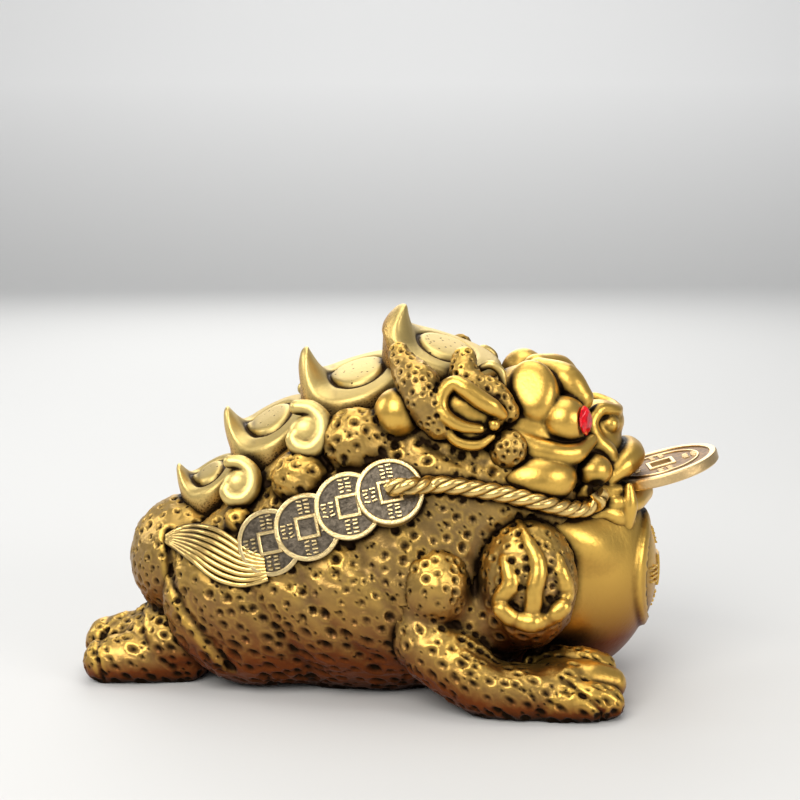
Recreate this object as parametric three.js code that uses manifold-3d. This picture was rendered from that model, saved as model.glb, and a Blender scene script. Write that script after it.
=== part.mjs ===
// A cast brass money toad: a three-legged toad on its belly, with a row of gold ingots down its back,
// a string of coins over each flank and a loose coin in its mouth. Millimetres, +Z up.
// +X runs towards the toad's nose, +Y to its left, and the origin is on the table under its belly.
import * as THREE from "three";
import { mergeVertices } from "three/addons/utils/BufferGeometryUtils.js";
import Module from "manifold-3d";

// Driving sizes.
const figureLength = 204; // rear toes to chest
const mouthCoinDiameter = 40;
const mouthCoinThickness = 3.6;
const mouthCoinRim = 2.6; // width of its raised border
const mouthCoinRelief = 0.5; // depth of its field under the border
const mouthCoinHole = 7; // side of its square hole
const mouthCoinFrame = 1.4; // width of the raised frame round the hole
const mouthCoinClearance = 0.35; // air round the coin in the mouth
const eyeStoneHeight = 10;
const eyeStoneWidth = 8.4;
const eyeStoneDepth = 4.4; // table to point
const eyeStoneClearance = 0.3; // air round a stone in its socket
const cashCoinDiameter = 22.8; // the coins of the strings
const cashCoinThickness = 5;
const cashCoinRim = 1.6;
const cashCoinRelief = 0.9;
const cashCoinSquare = 5.6; // side of the square in the middle
const cashCoinFrame = 1.1; // width of the raised frame round that square
const ropeDiameter = 6;
const medallionDiameter = 42;
const medallionRim = 3.2;
const medallionRelief = 1.5;
const medallionSquare = 8; // side of the square in the middle
const medallionFrame = 1.5; // width of the raised frame round that square
const ingotLean = 8; // degrees that the row of ingots leans to the toad's right

// The places below are laid out on a toad of this length, and follow figureLength.
const carvedLength = 204;
const share = figureLength / carvedLength;

const brass = new THREE.MeshStandardMaterial({ color: 0xb08a3c, roughness: 0.42, metalness: 0.9 });
const paleBrass = new THREE.MeshStandardMaterial({ color: 0xc49a62, roughness: 0.4, metalness: 0.9 });
const redGlass = new THREE.MeshStandardMaterial({ color: 0xd00818, roughness: 0.08, metalness: 0 });

const wasm = await Module();
wasm.setup();

// A closed three.js geometry as a solid that can be joined and cut.
function solid(geometry) {
  const plain = geometry.clone();
  plain.deleteAttribute("normal");
  plain.deleteAttribute("uv");
  const merged = mergeVertices(plain, 1e-4);
  return new wasm.Manifold(
    new wasm.Mesh({
      numProp: 3,
      vertProperties: new Float32Array(merged.attributes.position.array),
      triVerts: new Uint32Array(merged.index.array),
    }),
  );
}

function solidFrom(positions, faces) {
  const geometry = new THREE.BufferGeometry();
  geometry.setAttribute("position", new THREE.Float32BufferAttribute(positions, 3));
  geometry.setIndex(faces);
  return solid(geometry);
}

function join(solids) {
  return solids.reduce((whole, piece) => whole.add(piece));
}

function moved(body, matrix) {
  return body.transform(matrix.elements);
}

function mesh(name, body, material) {
  const { vertProperties, triVerts, numProp, numVert } = body.getMesh();
  const positions = new Float32Array(numVert * 3);
  for (let i = 0; i < numVert; i++) {
    positions.set(vertProperties.subarray(i * numProp, i * numProp + 3), i * 3);
  }
  const geometry = new THREE.BufferGeometry();
  geometry.setAttribute("position", new THREE.BufferAttribute(positions, 3));
  geometry.setIndex(new THREE.BufferAttribute(new Uint32Array(triVerts), 1));
  geometry.computeVertexNormals();
  const made = new THREE.Mesh(geometry, material);
  made.name = name;
  return made;
}

// The right side of the toad is -1 and the left side is 1. A place is [forward, out, up].
const sides = [-1, 1];

function place([forward, out, up], side = -1) {
  return new THREE.Vector3(forward, out * side, up).multiplyScalar(share);
}

// An ellipsoid, pitched by some degrees: a positive pitch lowers its front.
function blob(centre, radii, side = -1, fineness = 2, pitch = 0) {
  const turn = new THREE.Quaternion().setFromEuler(new THREE.Euler(0, THREE.MathUtils.degToRad(pitch), 0));
  const size = new THREE.Vector3(...radii).multiplyScalar(share);
  const geometry = new THREE.IcosahedronGeometry(1, fineness);
  geometry.applyMatrix4(new THREE.Matrix4().compose(place(centre, side), turn, size));
  return solid(geometry);
}

// A bar along a smooth curve, with its own radius at each point and rounded ends. With a twist, every
// other corner of its section is lower and the section turns along the bar, as in a rope.
function limb(points, radii, side = -1, around = 8, steps = 2 * (points.length - 1), twist = 0) {
  const curve = new THREE.CatmullRomCurve3(
    points.map((p) => place(p, side)),
    false,
    "centripetal",
  );
  const frames = curve.computeFrenetFrames(steps);
  const rings = [];
  for (let i = 0; i <= steps; i++) {
    const t = curve.getUtoTmapping(i / steps) * (radii.length - 1);
    const low = Math.min(Math.floor(t), radii.length - 2);
    const radius = THREE.MathUtils.lerp(radii[low], radii[low + 1], t - low) * share;
    rings.push({ centre: curve.getPointAt(i / steps), frame: i, radius });
  }
  const positions = [];
  const outwards = [frames.tangents[0].clone().negate(), frames.tangents[steps]];
  const caps = [rings[0], rings[steps]].map(({ centre, frame, radius }, end) => {
    const neck = centre.clone().addScaledVector(outwards[end], radius * 0.6);
    const tip = centre.clone().addScaledVector(outwards[end], radius * 0.95);
    positions.push(...tip.toArray());
    return { centre: neck, frame, radius: radius * 0.72 };
  });
  const all = [caps[0], ...rings, caps[1]];
  for (const { centre, frame, radius } of all) {
    for (let k = 0; k < around; k++) {
      const angle = 2 * Math.PI * (k / around + (twist * frame) / steps);
      const reach = twist && k % 2 ? radius * 0.8 : radius;
      const across = frames.normals[frame].clone().multiplyScalar(Math.cos(angle) * reach);
      const along = frames.binormals[frame].clone().multiplyScalar(Math.sin(angle) * reach);
      positions.push(...centre.clone().add(across).add(along).toArray());
    }
  }
  const faces = [];
  const last = 2 + (all.length - 1) * around;
  for (let k = 0; k < around; k++) {
    const next = (k + 1) % around;
    for (let i = 0; i + 1 < all.length; i++) {
      const a = 2 + i * around + k;
      const b = 2 + i * around + next;
      faces.push(a, b, b + around, a, b + around, a + around);
    }
    faces.push(0, 2 + next, 2 + k, 1, last + k, last + next);
  }
  return solidFrom(positions, faces);
}

function ringOf(around, pointAt) {
  return Array.from({ length: around }, (_, k) => {
    const angle = (2 * Math.PI * k) / around;
    return pointAt(Math.cos(angle), Math.sin(angle));
  });
}

// A closed body over rings of points, which run outwards from a middle point and then in to a floor point.
function shell(middle, rings, floor) {
  const around = rings[0].length;
  const positions = [middle, ...rings.flat(), floor].flatMap((p) => p.toArray());
  const faces = [];
  const bottom = rings.length * around + 1;
  const last = 1 + (rings.length - 1) * around;
  for (let k = 0; k < around; k++) {
    const next = (k + 1) % around;
    faces.push(0, 1 + k, 1 + next);
    for (let i = 0; i + 1 < rings.length; i++) {
      const a = 1 + i * around + k;
      const b = 1 + i * around + next;
      faces.push(a, a + around, b + around, a, b + around, b);
    }
    faces.push(bottom, last + next, last + k);
  }
  return solidFrom(positions, faces);
}

function box(width, depth, height, matrix = new THREE.Matrix4()) {
  return solid(new THREE.BoxGeometry(width, depth, height).applyMatrix4(matrix));
}

function lathe(profile, around) {
  const points = profile.map(([r, z]) => new THREE.Vector2(r, z));
  return solid(new THREE.LatheGeometry(points, around).rotateX(Math.PI / 2));
}

// Turns the Z axis to a direction, after a spin about it, and moves the origin to a point.
function standing(centre, direction, spin = 0) {
  const up = new THREE.Vector3(0, 0, 1);
  const turn = new THREE.Quaternion().setFromUnitVectors(up, new THREE.Vector3(...direction).normalize());
  const roll = new THREE.Quaternion().setFromAxisAngle(up, THREE.MathUtils.degToRad(spin));
  return new THREE.Matrix4().compose(centre, turn.multiply(roll), new THREE.Vector3(1, 1, 1));
}

// A raised square ring about the Z axis.
function squareFrame(hole, width, from, to) {
  const middle = new THREE.Matrix4().makeTranslation(0, 0, (from + to) / 2);
  const side = hole + 2 * width;
  return box(side, side, to - from, middle).subtract(box(hole, hole, 2 * (to - from), middle));
}

// Belly, back, haunches and the big warts beside the ingots.
function trunk() {
  const parts = [blob([2, 0, 36], [69, 45, 42], -1, 3), blob([12, 0, 58], [76, 39.5, 46.5], -1, 2, -20)];
  for (const side of sides) {
    parts.push(
      blob([-37, 19, 33.5], [35, 18.5, 33], side, 1),
      blob([-4, 25, 86.5], [13, 9, 12.5], side, 1),
      blob([-23.2, 27, 75.5], [10, 9, 9.5], side, 1),
    );
  }
  return parts;
}

// The single hind leg, straight back from under the rump, with three toes.
function hindLeg() {
  const parts = [
    blob([-65, 0, 42], [20.5, 22, 22], -1, 2),
    blob([-68, 0, 13], [20, 21, 14], -1, 1),
    limb([[-70, 0, 12.5], [-94.5, 0, 10.5]], [10.5, 9], -1, 6, 1),
  ];
  for (const side of sides) {
    parts.push(limb([[-70, 9, 7.5], [-93.5, 11.5, 6.5]], [10, 8.8], side, 6, 1));
  }
  return parts;
}

// Elbow, shoulder, forearm along the table, and a foot with three toes.
function foreleg(side) {
  return [
    blob([21.4, 36, 40], [12.9, 14, 15], side, 1),
    blob([51.7, 35, 41.2], [17.6, 17.5, 22.8], side, 1),
    limb(
      [[15, 36, 32], [18.5, 39, 22.5], [28, 43, 16], [39, 46.5, 9.5], [52, 48, 8], [64, 46, 8]],
      [9, 11, 11.5, 10.5, 10, 9.5],
      side,
      7,
      5,
    ),
    limb([[62, 49.5, 5.5], [77, 49.5, 5]], [7.4, 6.6], side, 6, 1),
    limb([[62, 42.5, 10], [79, 41.5, 9]], [7.7, 6.6], side, 6, 1),
    limb([[60, 34, 12], [76.5, 33.5, 11]], [7.2, 6.4], side, 6, 1),
    ...flame(side),
  ];
}

// The flame in relief on the shoulder.
function flame(side) {
  const root = [51.5, 49.5, 34];
  const tongues = [
    [[43.4, 49.5, 53.2], [46, 51.5, 46.5], [41.5, 49.5, 40], [44.5, 49.5, 35], root],
    [[48.7, 46, 62], [54, 50.5, 54], [55, 52, 46.5], [51.5, 51.5, 39.5], root],
    [[62.5, 46, 51.8], [62, 48.5, 45.5], [65.2, 45, 40], [60.5, 48, 34.5], root],
  ];
  return tongues.map((tongue) => limb(tongue, [1, 2.8, 3, 3, 3], side, 4, 3));
}

const chestCentre = [64, 0, 38];
const chestRadii = [36.5, 30, 40];

function chest() {
  const parts = [blob(chestCentre, chestRadii, -1, 3)];
  for (const side of sides) {
    parts.push(blob([64, 19, 56], [20, 14, 9], side, 1, 25), blob([42, 22, 66], [28, 15, 12], side, 0, 12));
  }
  return parts;
}

// The big coin on the chest, bent over the chest's round front.
function medallion() {
  const radius = medallionDiameter / 2;
  const inner = radius - medallionRim;
  const field = 0.4;
  const [rx, ry, rz] = chestRadii.map((r) => r * share);
  const middle = place(chestCentre);
  const onChest = (across, up, height) => {
    const forward = rx * Math.sqrt(1 - (across / ry) ** 2 - (up / rz) ** 2) + height;
    return new THREE.Vector3(forward, across, up).add(middle);
  };
  const ring = (r, height) => ringOf(14, (c, s) => onChest(r * c, r * s, height));
  const disc = shell(
    onChest(0, 0, field),
    [
      ring(inner, field),
      ring(inner, medallionRelief),
      ring(radius, medallionRelief),
      ring(radius, -2),
    ],
    onChest(0, 0, -12),
  );
  const frame = squareFrame(medallionSquare, medallionFrame, rx - 8, rx + medallionRelief - 1.2);
  return [disc, moved(frame, standing(middle, [1, 0, 0]))];
}

const eyeball = { centre: [64.8, 20, 93.6], radius: 8.6, looks: [0.88, 0.46, 0.1] };

// Skull, brows, eyes, nose, cheeks and lips.
function head() {
  const parts = [
    blob([48, 0, 84], [34, 30, 23], -1, 2, 5),
    blob([75, 0, 81], [13, 18, 14], -1, 1),
    blob([57, 0, 102], [14, 13, 9.5], -1, 1, 12),
    blob([79.5, 0, 90.5], [8.8, 12.5, 7.2], -1, 1),
    limb([[81, 17, 75], [86.5, 12, 78], [89, 0, 78.8], [86.5, -12, 78], [81, -17, 75]],
      [4, 5.4, 6, 5.4, 4], -1, 4, 4),
    limb([[82, 18, 65], [90, 12, 64], [95, 0, 65], [90, -12, 64], [82, -18, 65]],
      [3.5, 3.8, 4.2, 3.8, 3.5], -1, 4, 4),
    blob([80, 0, 64], [14, 18, 10], -1, 1),
  ];
  for (const side of sides) {
    parts.push(
      blob([56.8, 26.5, 75], [12.8, 10.5, 9], side, 1),
      blob([75.1, 20, 76.8], [6.8, 7, 5.6], side, 1),
      blob(eyeball.centre, [eyeball.radius, eyeball.radius, eyeball.radius], side, 1),
      blob([54.8, 17, 101.8], [8.9, 9.5, 12], side, 1, -8),
      limb([[58, 5, 108], [66, 11, 106], [71, 14, 100.5]], [5.6, 6.2, 4.8], side, 5, 2),
      limb([[46.5, 26, 91.5], [52, 28, 86.8], [60, 28, 84], [68, 25.5, 83.8], [74.5, 20, 87]],
        [2.7, 3.9, 4.1, 3.9, 2.8], side, 4, 3),
      blob([82.1, 9.5, 90.8], [3.2, 3.6, 3.2], side, 0),
      limb([[84, 8, 95.5], [77.5, 13, 95.5], [76, 14, 89], [81.5, 14, 83.5], [84.4, 12.5, 78]],
        [2.6, 2.9, 2.9, 4.9, 4.4], side, 4, 3),
      blob([45.6, 30, 85.9], [6.5, 6, 6.5], side, 1),
      limb([[72.5, 22, 60], [80, 19.5, 61.5], [88, 12.5, 57]], [3, 3.6, 4], side, 4, 2),
      limb([[87, 15.5, 57], [88.2, 17.6, 64], [88, 17.4, 70.5]], [3.6, 3.2, 1.7], side, 4, 2),
    );
  }
  return parts;
}

// An ear: two pitted points that lean on the first ingot, and a folded shell in front of them.
function ear(side) {
  return [
    blob([33, 20, 97], [16, 13, 14], side, 0),
    limb([[9.4, 20.5, 117.5], [11.5, 23, 112.5], [15.5, 27.5, 107.5], [18, 31, 101.5], [22.8, 33, 94]],
      [3.4, 5, 7.8, 6.8, 3.6], side, 5, 3),
    limb([[31.6, 18, 115.3], [32.5, 26, 105]], [3.8, 5.6], side, 5, 1),
    blob([33, 29, 99], [11, 5, 8.5], side, 1, 15),
    limb(
      [
        [42.4, 34, 98.7], [38.4, 36, 101.7], [32.7, 36, 105.3], [28, 34.5, 108.3], [23.6, 34.5, 104.5],
        [25, 36.5, 98.4], [31, 37, 95.6], [36.5, 36.5, 94.8],
      ],
      [2.2, 3, 3, 2.4, 2.2, 2.3, 2.2, 1.7],
      side,
      4,
      7,
    ),
    limb([[25.2, 34.5, 95.5], [26.8, 35, 91.8], [30.8, 36, 89.9], [36.4, 36, 90.2], [40, 34.5, 92.2]],
      [1.8, 1.9, 2, 2, 1.9], side, 4, 3),
  ];
}

// The ingots, front to rear. Each is a boat whose rear point curls up, with an oval dome on its deck.
const ingots = [
  { dome: [24.3, 117.2], pitch: 17, half: [21, 18], point: 11, oval: [10.3, 12], offset: 1.5 },
  { dome: [-5.8, 107.6], pitch: -17, half: [19.5, 19.5], point: 13.5, oval: [10.8, 13.5], offset: 1 },
  { dome: [-36.2, 90.6], pitch: -28, half: [15.3, 18], point: 11, oval: [9.3, 12], offset: 0.5 },
  { dome: [-57.5, 71.6], pitch: -30, half: [10.8, 13.5], point: 8.5, oval: [6.6, 9], offset: 0 },
];

function ingot({ dome, pitch, half, point, oval, offset }) {
  const around = 14;
  const crown = 0.0075;
  const lean = THREE.MathUtils.degToRad(ingotLean);
  const tilt = new THREE.Quaternion().setFromEuler(new THREE.Euler(lean, THREE.MathUtils.degToRad(pitch), 0));
  const size = new THREE.Vector3(share, share, share);
  const spot = new THREE.Matrix4().compose(place([dome[0], 0, dome[1]]), tilt, size);
  // A point over the deck, which falls off to both sides and curls up and forwards to a point at the rear.
  const onDeck = (x, y, rise) => {
    const back = THREE.MathUtils.clamp((-x / half[0] - 0.42) / 0.42, 0, 1);
    const curl = point * back ** 1.15 * Math.exp(-((y / (0.6 * half[1])) ** 2));
    return new THREE.Vector3(x + 0.3 * curl, y, curl - crown * y * y + rise).applyMatrix4(spot);
  };
  // A ring between the oval (0) and the deck's edge (1), at a height over the deck.
  const ring = (t, rise, scale = 1) => {
    const rx = THREE.MathUtils.lerp(oval[0], half[0], t) * scale;
    const ry = THREE.MathUtils.lerp(oval[1], half[1], t) * scale;
    const shift = offset * (1 - t);
    return ringOf(around, (c, s) => onDeck(shift + rx * c, ry * s, rise));
  };
  return shell(
    onDeck(offset, 0, 0.9),
    [
      ring(0, 0.5, 0.92),
      ring(0, -0.7),
      ring(0, 0, 1.1),
      ring(0.6, 0),
      ring(1, -0.6),
      ring(1, -6, 0.94),
    ],
    onDeck(2, 0, -14),
  );
}

// A cloud scroll on each side of an ingot: a tapering spiral that lies on the slope of the back.
const scrolls = [
  { centre: [-22.7, 25, 90.4], radius: 4.8 },
  { centre: [-46.8, 22, 71.6], radius: 4 },
];

function scroll({ centre: [forward, out, up], radius }, side) {
  const turns = 1.2;
  const points = [];
  const radii = [];
  const last = 5;
  for (let i = 0; i <= last; i++) {
    const t = i / last;
    const angle = (0.3 - t * turns) * 2 * Math.PI;
    const reach = radius * (1 - 0.85 * t);
    const rise = reach * Math.sin(angle);
    points.push([forward + reach * Math.cos(angle), out - 0.5 * rise + 0.8 * t, up + 0.88 * rise]);
    radii.push(radius * (0.55 - 0.16 * t));
  }
  const mound = blob([forward + 1, out - 4, up + 1], [1.5 * radius, 5, 1.4 * radius], side, 0);
  return [limb(points, radii, side, 4, last), mound];
}

// The coin string of one flank: four coins lapped like tiles, a rope to the mouth and a tassel behind.
const cashCoins = [
  { face: [6.5, 41.5, 74.2], looks: [0.02, 0.88, 0.46], spin: 12 },
  { face: [-7.2, 41, 69.1], looks: [-0.04, 0.93, 0.3], spin: 12 },
  { face: [-20.8, 39.5, 61.6], looks: [-0.12, 0.95, 0.24], spin: 14 },
  { face: [-33.5, 37, 55.7], looks: [-0.22, 0.95, 0.2], spin: 14 },
];

function cashCoin({ face, looks: [forward, out, up], spin }, side) {
  const radius = cashCoinDiameter / 2;
  const inner = radius - cashCoinRim;
  const disc = lathe(
    [
      [0, -cashCoinThickness],
      [radius, -cashCoinThickness],
      [radius, 0],
      [inner, 0],
      [inner, -cashCoinRelief],
      [0, -cashCoinRelief],
    ],
    12,
  );
  const coin = disc.add(squareFrame(cashCoinSquare, cashCoinFrame, -1.5 * cashCoinRelief, 0));
  return moved(coin, standing(place(face, side), [forward, out * side, up], spin));
}

function rope(side) {
  const radius = ropeDiameter / 2 / share;
  const route = [
    [6, 41.5, 75.2], [14, 44.5, 76.5], [23, 42.5, 76.5], [36, 38.5, 73.9], [47, 37, 71.5], [58, 35, 68.3],
    [66.8, 30, 65.5], [73, 26, 65.8], [78, 22, 68.5],
  ];
  return limb(route, [0.8 * radius, ...Array(8).fill(radius)], side, 6, 9, 2);
}

// The tassel is one fan: its strands are ridges that run out from the tip.
function tassel(side) {
  const strands = 5;
  const last = 2 * strands;
  const edges = [
    [[-70, 29, 58.4], [-69, 29, 57]],
    [[-58, 36, 61.2], [-57.5, 36.5, 51.6]],
    [[-50, 38.2, 60.3], [-49, 40, 44.6]],
    [[-41, 37, 57], [-35, 41, 41.5]],
  ];
  const rows = edges.map(([top, low], j) =>
    Array.from({ length: last + 1 }, (_, i) => {
      const point = place(top, side).lerp(place(low, side), i / last);
      const ridge = j && i % 2 ? 0.9 : -0.6;
      return point.add(new THREE.Vector3(0, side * ridge * share, 0));
    }),
  );
  const inner = rows.map((row) => row.map((point) => point.clone().setY(side * 20 * share)));
  const positions = [...rows.flat(), ...inner.flat()].flatMap((p) => p.toArray());
  const width = last + 1;
  const back = rows.length * width;
  const faces = [];
  const quad = (a, b, c, d) => (side > 0 ? faces.push(a, b, c, a, c, d) : faces.push(a, c, b, a, d, c));
  for (let j = 0; j + 1 < rows.length; j++) {
    for (let i = 0; i < last; i++) {
      const a = j * width + i;
      quad(a, a + width, a + width + 1, a + 1);
      quad(back + a + 1, back + a + width + 1, back + a + width, back + a);
    }
    const top = j * width;
    const low = top + last;
    quad(top + width, top, back + top, back + top + width);
    quad(low, low + width, back + low + width, back + low);
  }
  const end = (rows.length - 1) * width;
  for (let i = 0; i < last; i++) {
    quad(i, i + 1, back + i + 1, back + i);
    quad(end + i + 1, end + i, back + end + i, back + end + i + 1);
  }
  return solidFrom(positions, faces);
}

// A stone for one eye, or its socket with some air round the stone.
function eyeStone(side, clearance = 0) {
  const deep = eyeStoneDepth + 2 * clearance;
  const profile = [[0, -0.62], [1, -0.08], [1, 0.06], [0.6, 0.38], [0, 0.38]];
  const stone = lathe(profile.map(([r, z]) => [r, z * deep]), 10);
  const [forward, out, up] = eyeball.looks;
  const ahead = new THREE.Vector3(forward, out * side, up).normalize();
  const across = new THREE.Vector3(0, 0, 1).cross(ahead).normalize();
  const upright = ahead.clone().cross(across);
  const centre = place(eyeball.centre, side).addScaledVector(ahead, eyeball.radius * share - 0.5);
  const size = new THREE.Vector3(eyeStoneHeight / 2 + clearance, eyeStoneWidth / 2 + clearance, 1);
  const turn = new THREE.Matrix4().makeBasis(upright, across.negate(), ahead).setPosition(centre).scale(size);
  return moved(stone, turn);
}

// The loose coin rests in the lips, with its front raised.
const mouthCoin = { centre: [102.1, 0, 73.7], rise: 17 };

function mouthCoinPlace() {
  const rise = THREE.MathUtils.degToRad(mouthCoin.rise);
  return standing(place(mouthCoin.centre), [-Math.sin(rise), 0, Math.cos(rise)]);
}

function looseCoin() {
  const radius = mouthCoinDiameter / 2;
  const inner = radius - mouthCoinRim;
  const face = mouthCoinThickness / 2;
  const field = face - mouthCoinRelief;
  const under = [[0, -field], [inner, -field], [inner, -face], [radius, -face]];
  const over = [[radius, face], [inner, face], [inner, field], [0, field]];
  const disc = lathe([...under, ...over], 32);
  const raised = disc.add(squareFrame(mouthCoinHole, mouthCoinFrame, -face, face));
  return moved(raised.subtract(box(mouthCoinHole, mouthCoinHole, 4 * face)), mouthCoinPlace());
}

function coinSlot() {
  const radius = mouthCoinDiameter / 2 + mouthCoinClearance;
  const height = mouthCoinThickness + 2 * mouthCoinClearance;
  const slot = new THREE.CylinderGeometry(radius, radius, height, 32).rotateX(Math.PI / 2);
  return moved(solid(slot), mouthCoinPlace());
}

function casting() {
  let body = join([
    ...trunk(),
    ...hindLeg(),
    ...chest(),
    ...medallion(),
    ...head(),
    ...ingots.map(ingot),
    ...sides.flatMap((side) => [
      ...foreleg(side),
      ...ear(side),
      blob([9.1, 26, 97.5], [8, 8, 8], side, 1),
      ...scrolls.flatMap((one) => scroll(one, side)),
      ...cashCoins.map((coin) => cashCoin(coin, side)),
      rope(side),
      tassel(side),
    ]),
  ]);
  const deep = figureLength / 2;
  const below = new THREE.Matrix4().makeTranslation(0, 0, -deep / 2);
  body = body.subtract(box(2 * figureLength, figureLength, deep, below)).subtract(coinSlot());
  for (const side of sides) {
    body = body.subtract(eyeStone(side, eyeStoneClearance));
  }
  return body;
}

const toad = new THREE.Group();
toad.add(mesh("toad_casting", casting(), brass));
toad.add(mesh("mouth_coin", looseCoin(), paleBrass));
toad.add(mesh("eye_stone_right", eyeStone(-1), redGlass));
toad.add(mesh("eye_stone_left", eyeStone(1), redGlass.clone()));

export default toad;
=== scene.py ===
# The looks of a cast money toad in antique brass: pitted skin, ingots, coin strings and glass eyes.
import math

import bmesh
import bpy
import numpy as np
from mathutils import Euler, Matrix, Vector
from mathutils.kdtree import KDTree


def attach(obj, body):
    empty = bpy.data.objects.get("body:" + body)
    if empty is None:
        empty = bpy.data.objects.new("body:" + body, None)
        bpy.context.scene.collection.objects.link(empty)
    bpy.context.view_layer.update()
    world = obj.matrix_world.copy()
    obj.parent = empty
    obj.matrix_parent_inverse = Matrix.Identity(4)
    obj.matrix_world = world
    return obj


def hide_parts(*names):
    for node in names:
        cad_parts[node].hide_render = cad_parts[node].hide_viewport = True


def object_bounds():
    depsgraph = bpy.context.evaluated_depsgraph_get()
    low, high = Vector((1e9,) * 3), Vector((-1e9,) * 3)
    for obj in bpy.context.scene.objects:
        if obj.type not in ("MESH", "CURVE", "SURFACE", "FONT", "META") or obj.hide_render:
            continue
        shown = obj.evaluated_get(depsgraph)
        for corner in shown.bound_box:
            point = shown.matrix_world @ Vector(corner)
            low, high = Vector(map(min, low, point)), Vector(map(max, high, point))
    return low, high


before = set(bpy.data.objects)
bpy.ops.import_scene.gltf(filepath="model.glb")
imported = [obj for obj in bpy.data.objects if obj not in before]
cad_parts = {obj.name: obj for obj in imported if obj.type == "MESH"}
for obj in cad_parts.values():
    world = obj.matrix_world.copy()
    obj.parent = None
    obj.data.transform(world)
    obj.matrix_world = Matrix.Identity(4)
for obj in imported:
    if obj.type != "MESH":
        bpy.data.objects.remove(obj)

cad_low, cad_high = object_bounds()

# The forms are placed on a figure of this length, as [forward, out, up] from the table under the belly.
FIGURE_LENGTH = 224.77  # rear toes to the edge of the loose coin
UNIT = (cad_high.x - cad_low.x) / FIGURE_LENGTH
RIGHT = -1
LEFT = 1
SIDES = (RIGHT, LEFT)
SIDE_WORDS = {RIGHT: "right", LEFT: "left"}
FAR = 9.0  # what counts as far from any surface
FACE_SEAM = 2.6  # how softly a flat face runs into its ball

CHEST_CENTRE = np.array([64.0, 0.0, 38.0])
CHEST_RADII = np.array([36.5, 30.0, 40.0])
MEDALLION_RADIUS = 21.0
EYE_CENTRE = np.array([64.8, 20.0, 93.6])
EYE_RADIUS = 8.6
EYE_LOOKS = np.array([0.88, 0.46, 0.1])
EYE_STONE_RADII = (4.3, 5.0)  # across and upright
MOUTH_COIN_CENTRE = np.array([102.1, 0.0, 73.7])
MOUTH_COIN_RISE = math.radians(17)
MOUTH_COIN_RADIUS = 20.0
MOUTH_COIN_THICKNESS = 3.6
COIN_GAP = 0.3  # between the loose coin and its slot
CASH_COIN_RADIUS = 11.4
CASH_COINS = [
    {"face": [6.5, 41.5, 74.2], "looks": [0.02, 0.88, 0.46], "spin": 12},
    {"face": [-7.2, 41.0, 69.1], "looks": [-0.04, 0.93, 0.30], "spin": 12},
    {"face": [-20.8, 39.5, 61.6], "looks": [-0.12, 0.95, 0.24], "spin": 14},
    {"face": [-33.5, 37.0, 55.7], "looks": [-0.22, 0.95, 0.20], "spin": 14},
]
ROPE_ROUTE = [
    [6, 41.5, 75.2], [14, 44.5, 76.5], [23, 42.5, 76.5], [36, 38.5, 73.9], [47, 37, 71.5], [58, 35, 68.3],
    [66.8, 30, 65.5], [73, 26.5, 65.2], [77.6, 23.5, 67.6], [76.5, 22.5, 70],
]
TASSEL_TOP = [
    [-68, 34, 56.9], [-63.3, 34, 59.6], [-58, 34, 60.6], [-52.4, 34, 59.6],
    [-47.1, 34, 56.9], [-43.1, 34, 53.8], [-39.5, 34, 51.4], [-35.5, 34, 50],
]
TASSEL_LOW = [
    [-68.1, 34, 55.5], [-63.5, 34, 52.1], [-58.6, 34, 48.3], [-54.3, 34, 44.5],
    [-49.7, 34, 41.8], [-43.7, 34, 40.4], [-38.3, 34, 41.1], [-34.3, 34, 42.5],
]
LOOKS_AT = np.array([9.8, 0.0, 97.62])
CAMERA_RISE = math.radians(9)
CAMERA_DISTANCE = 550.0
VIEW_WIDTH = 280.0  # what the camera sees at that distance
SENSOR_WIDTH = 36.0
SEEN_FROM = LOOKS_AT + CAMERA_DISTANCE * np.array([0, math.cos(CAMERA_RISE), math.sin(CAMERA_RISE)])


def smooth_path(points, samples=8):
    """Points on a smooth curve through the given ones, as an array."""
    given = np.array(points, float)
    ends = [2 * given[0] - given[1], *given, 2 * given[-1] - given[-2]]
    made = []
    for a, b, c, d in zip(ends, ends[1:], ends[2:], ends[3:]):
        for t in np.arange(samples) / samples:
            square, cube = (2 * a - 5 * b + 4 * c - d) * t**2, (3 * b - a - 3 * c + d) * t**3
            made.append(0.5 * (2 * b + (c - a) * t + square + cube))
    return np.array([*made, given[-1]])


def between(values, count):
    """The values spread evenly over a count of points."""
    return np.interp(np.linspace(0, len(values) - 1, count), range(len(values)), values)


def turned(pitch, yaw):
    """A rotation: a positive pitch lowers the front, and a positive yaw turns it outwards."""
    p, y = math.radians(pitch), math.radians(yaw)
    lowering = np.array([[math.cos(p), 0, math.sin(p)], [0, 1, 0], [-math.sin(p), 0, math.cos(p)]])
    turning = np.array([[math.cos(y), -math.sin(y), 0], [math.sin(y), math.cos(y), 0], [0, 0, 1]])
    return turning @ lowering


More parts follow.
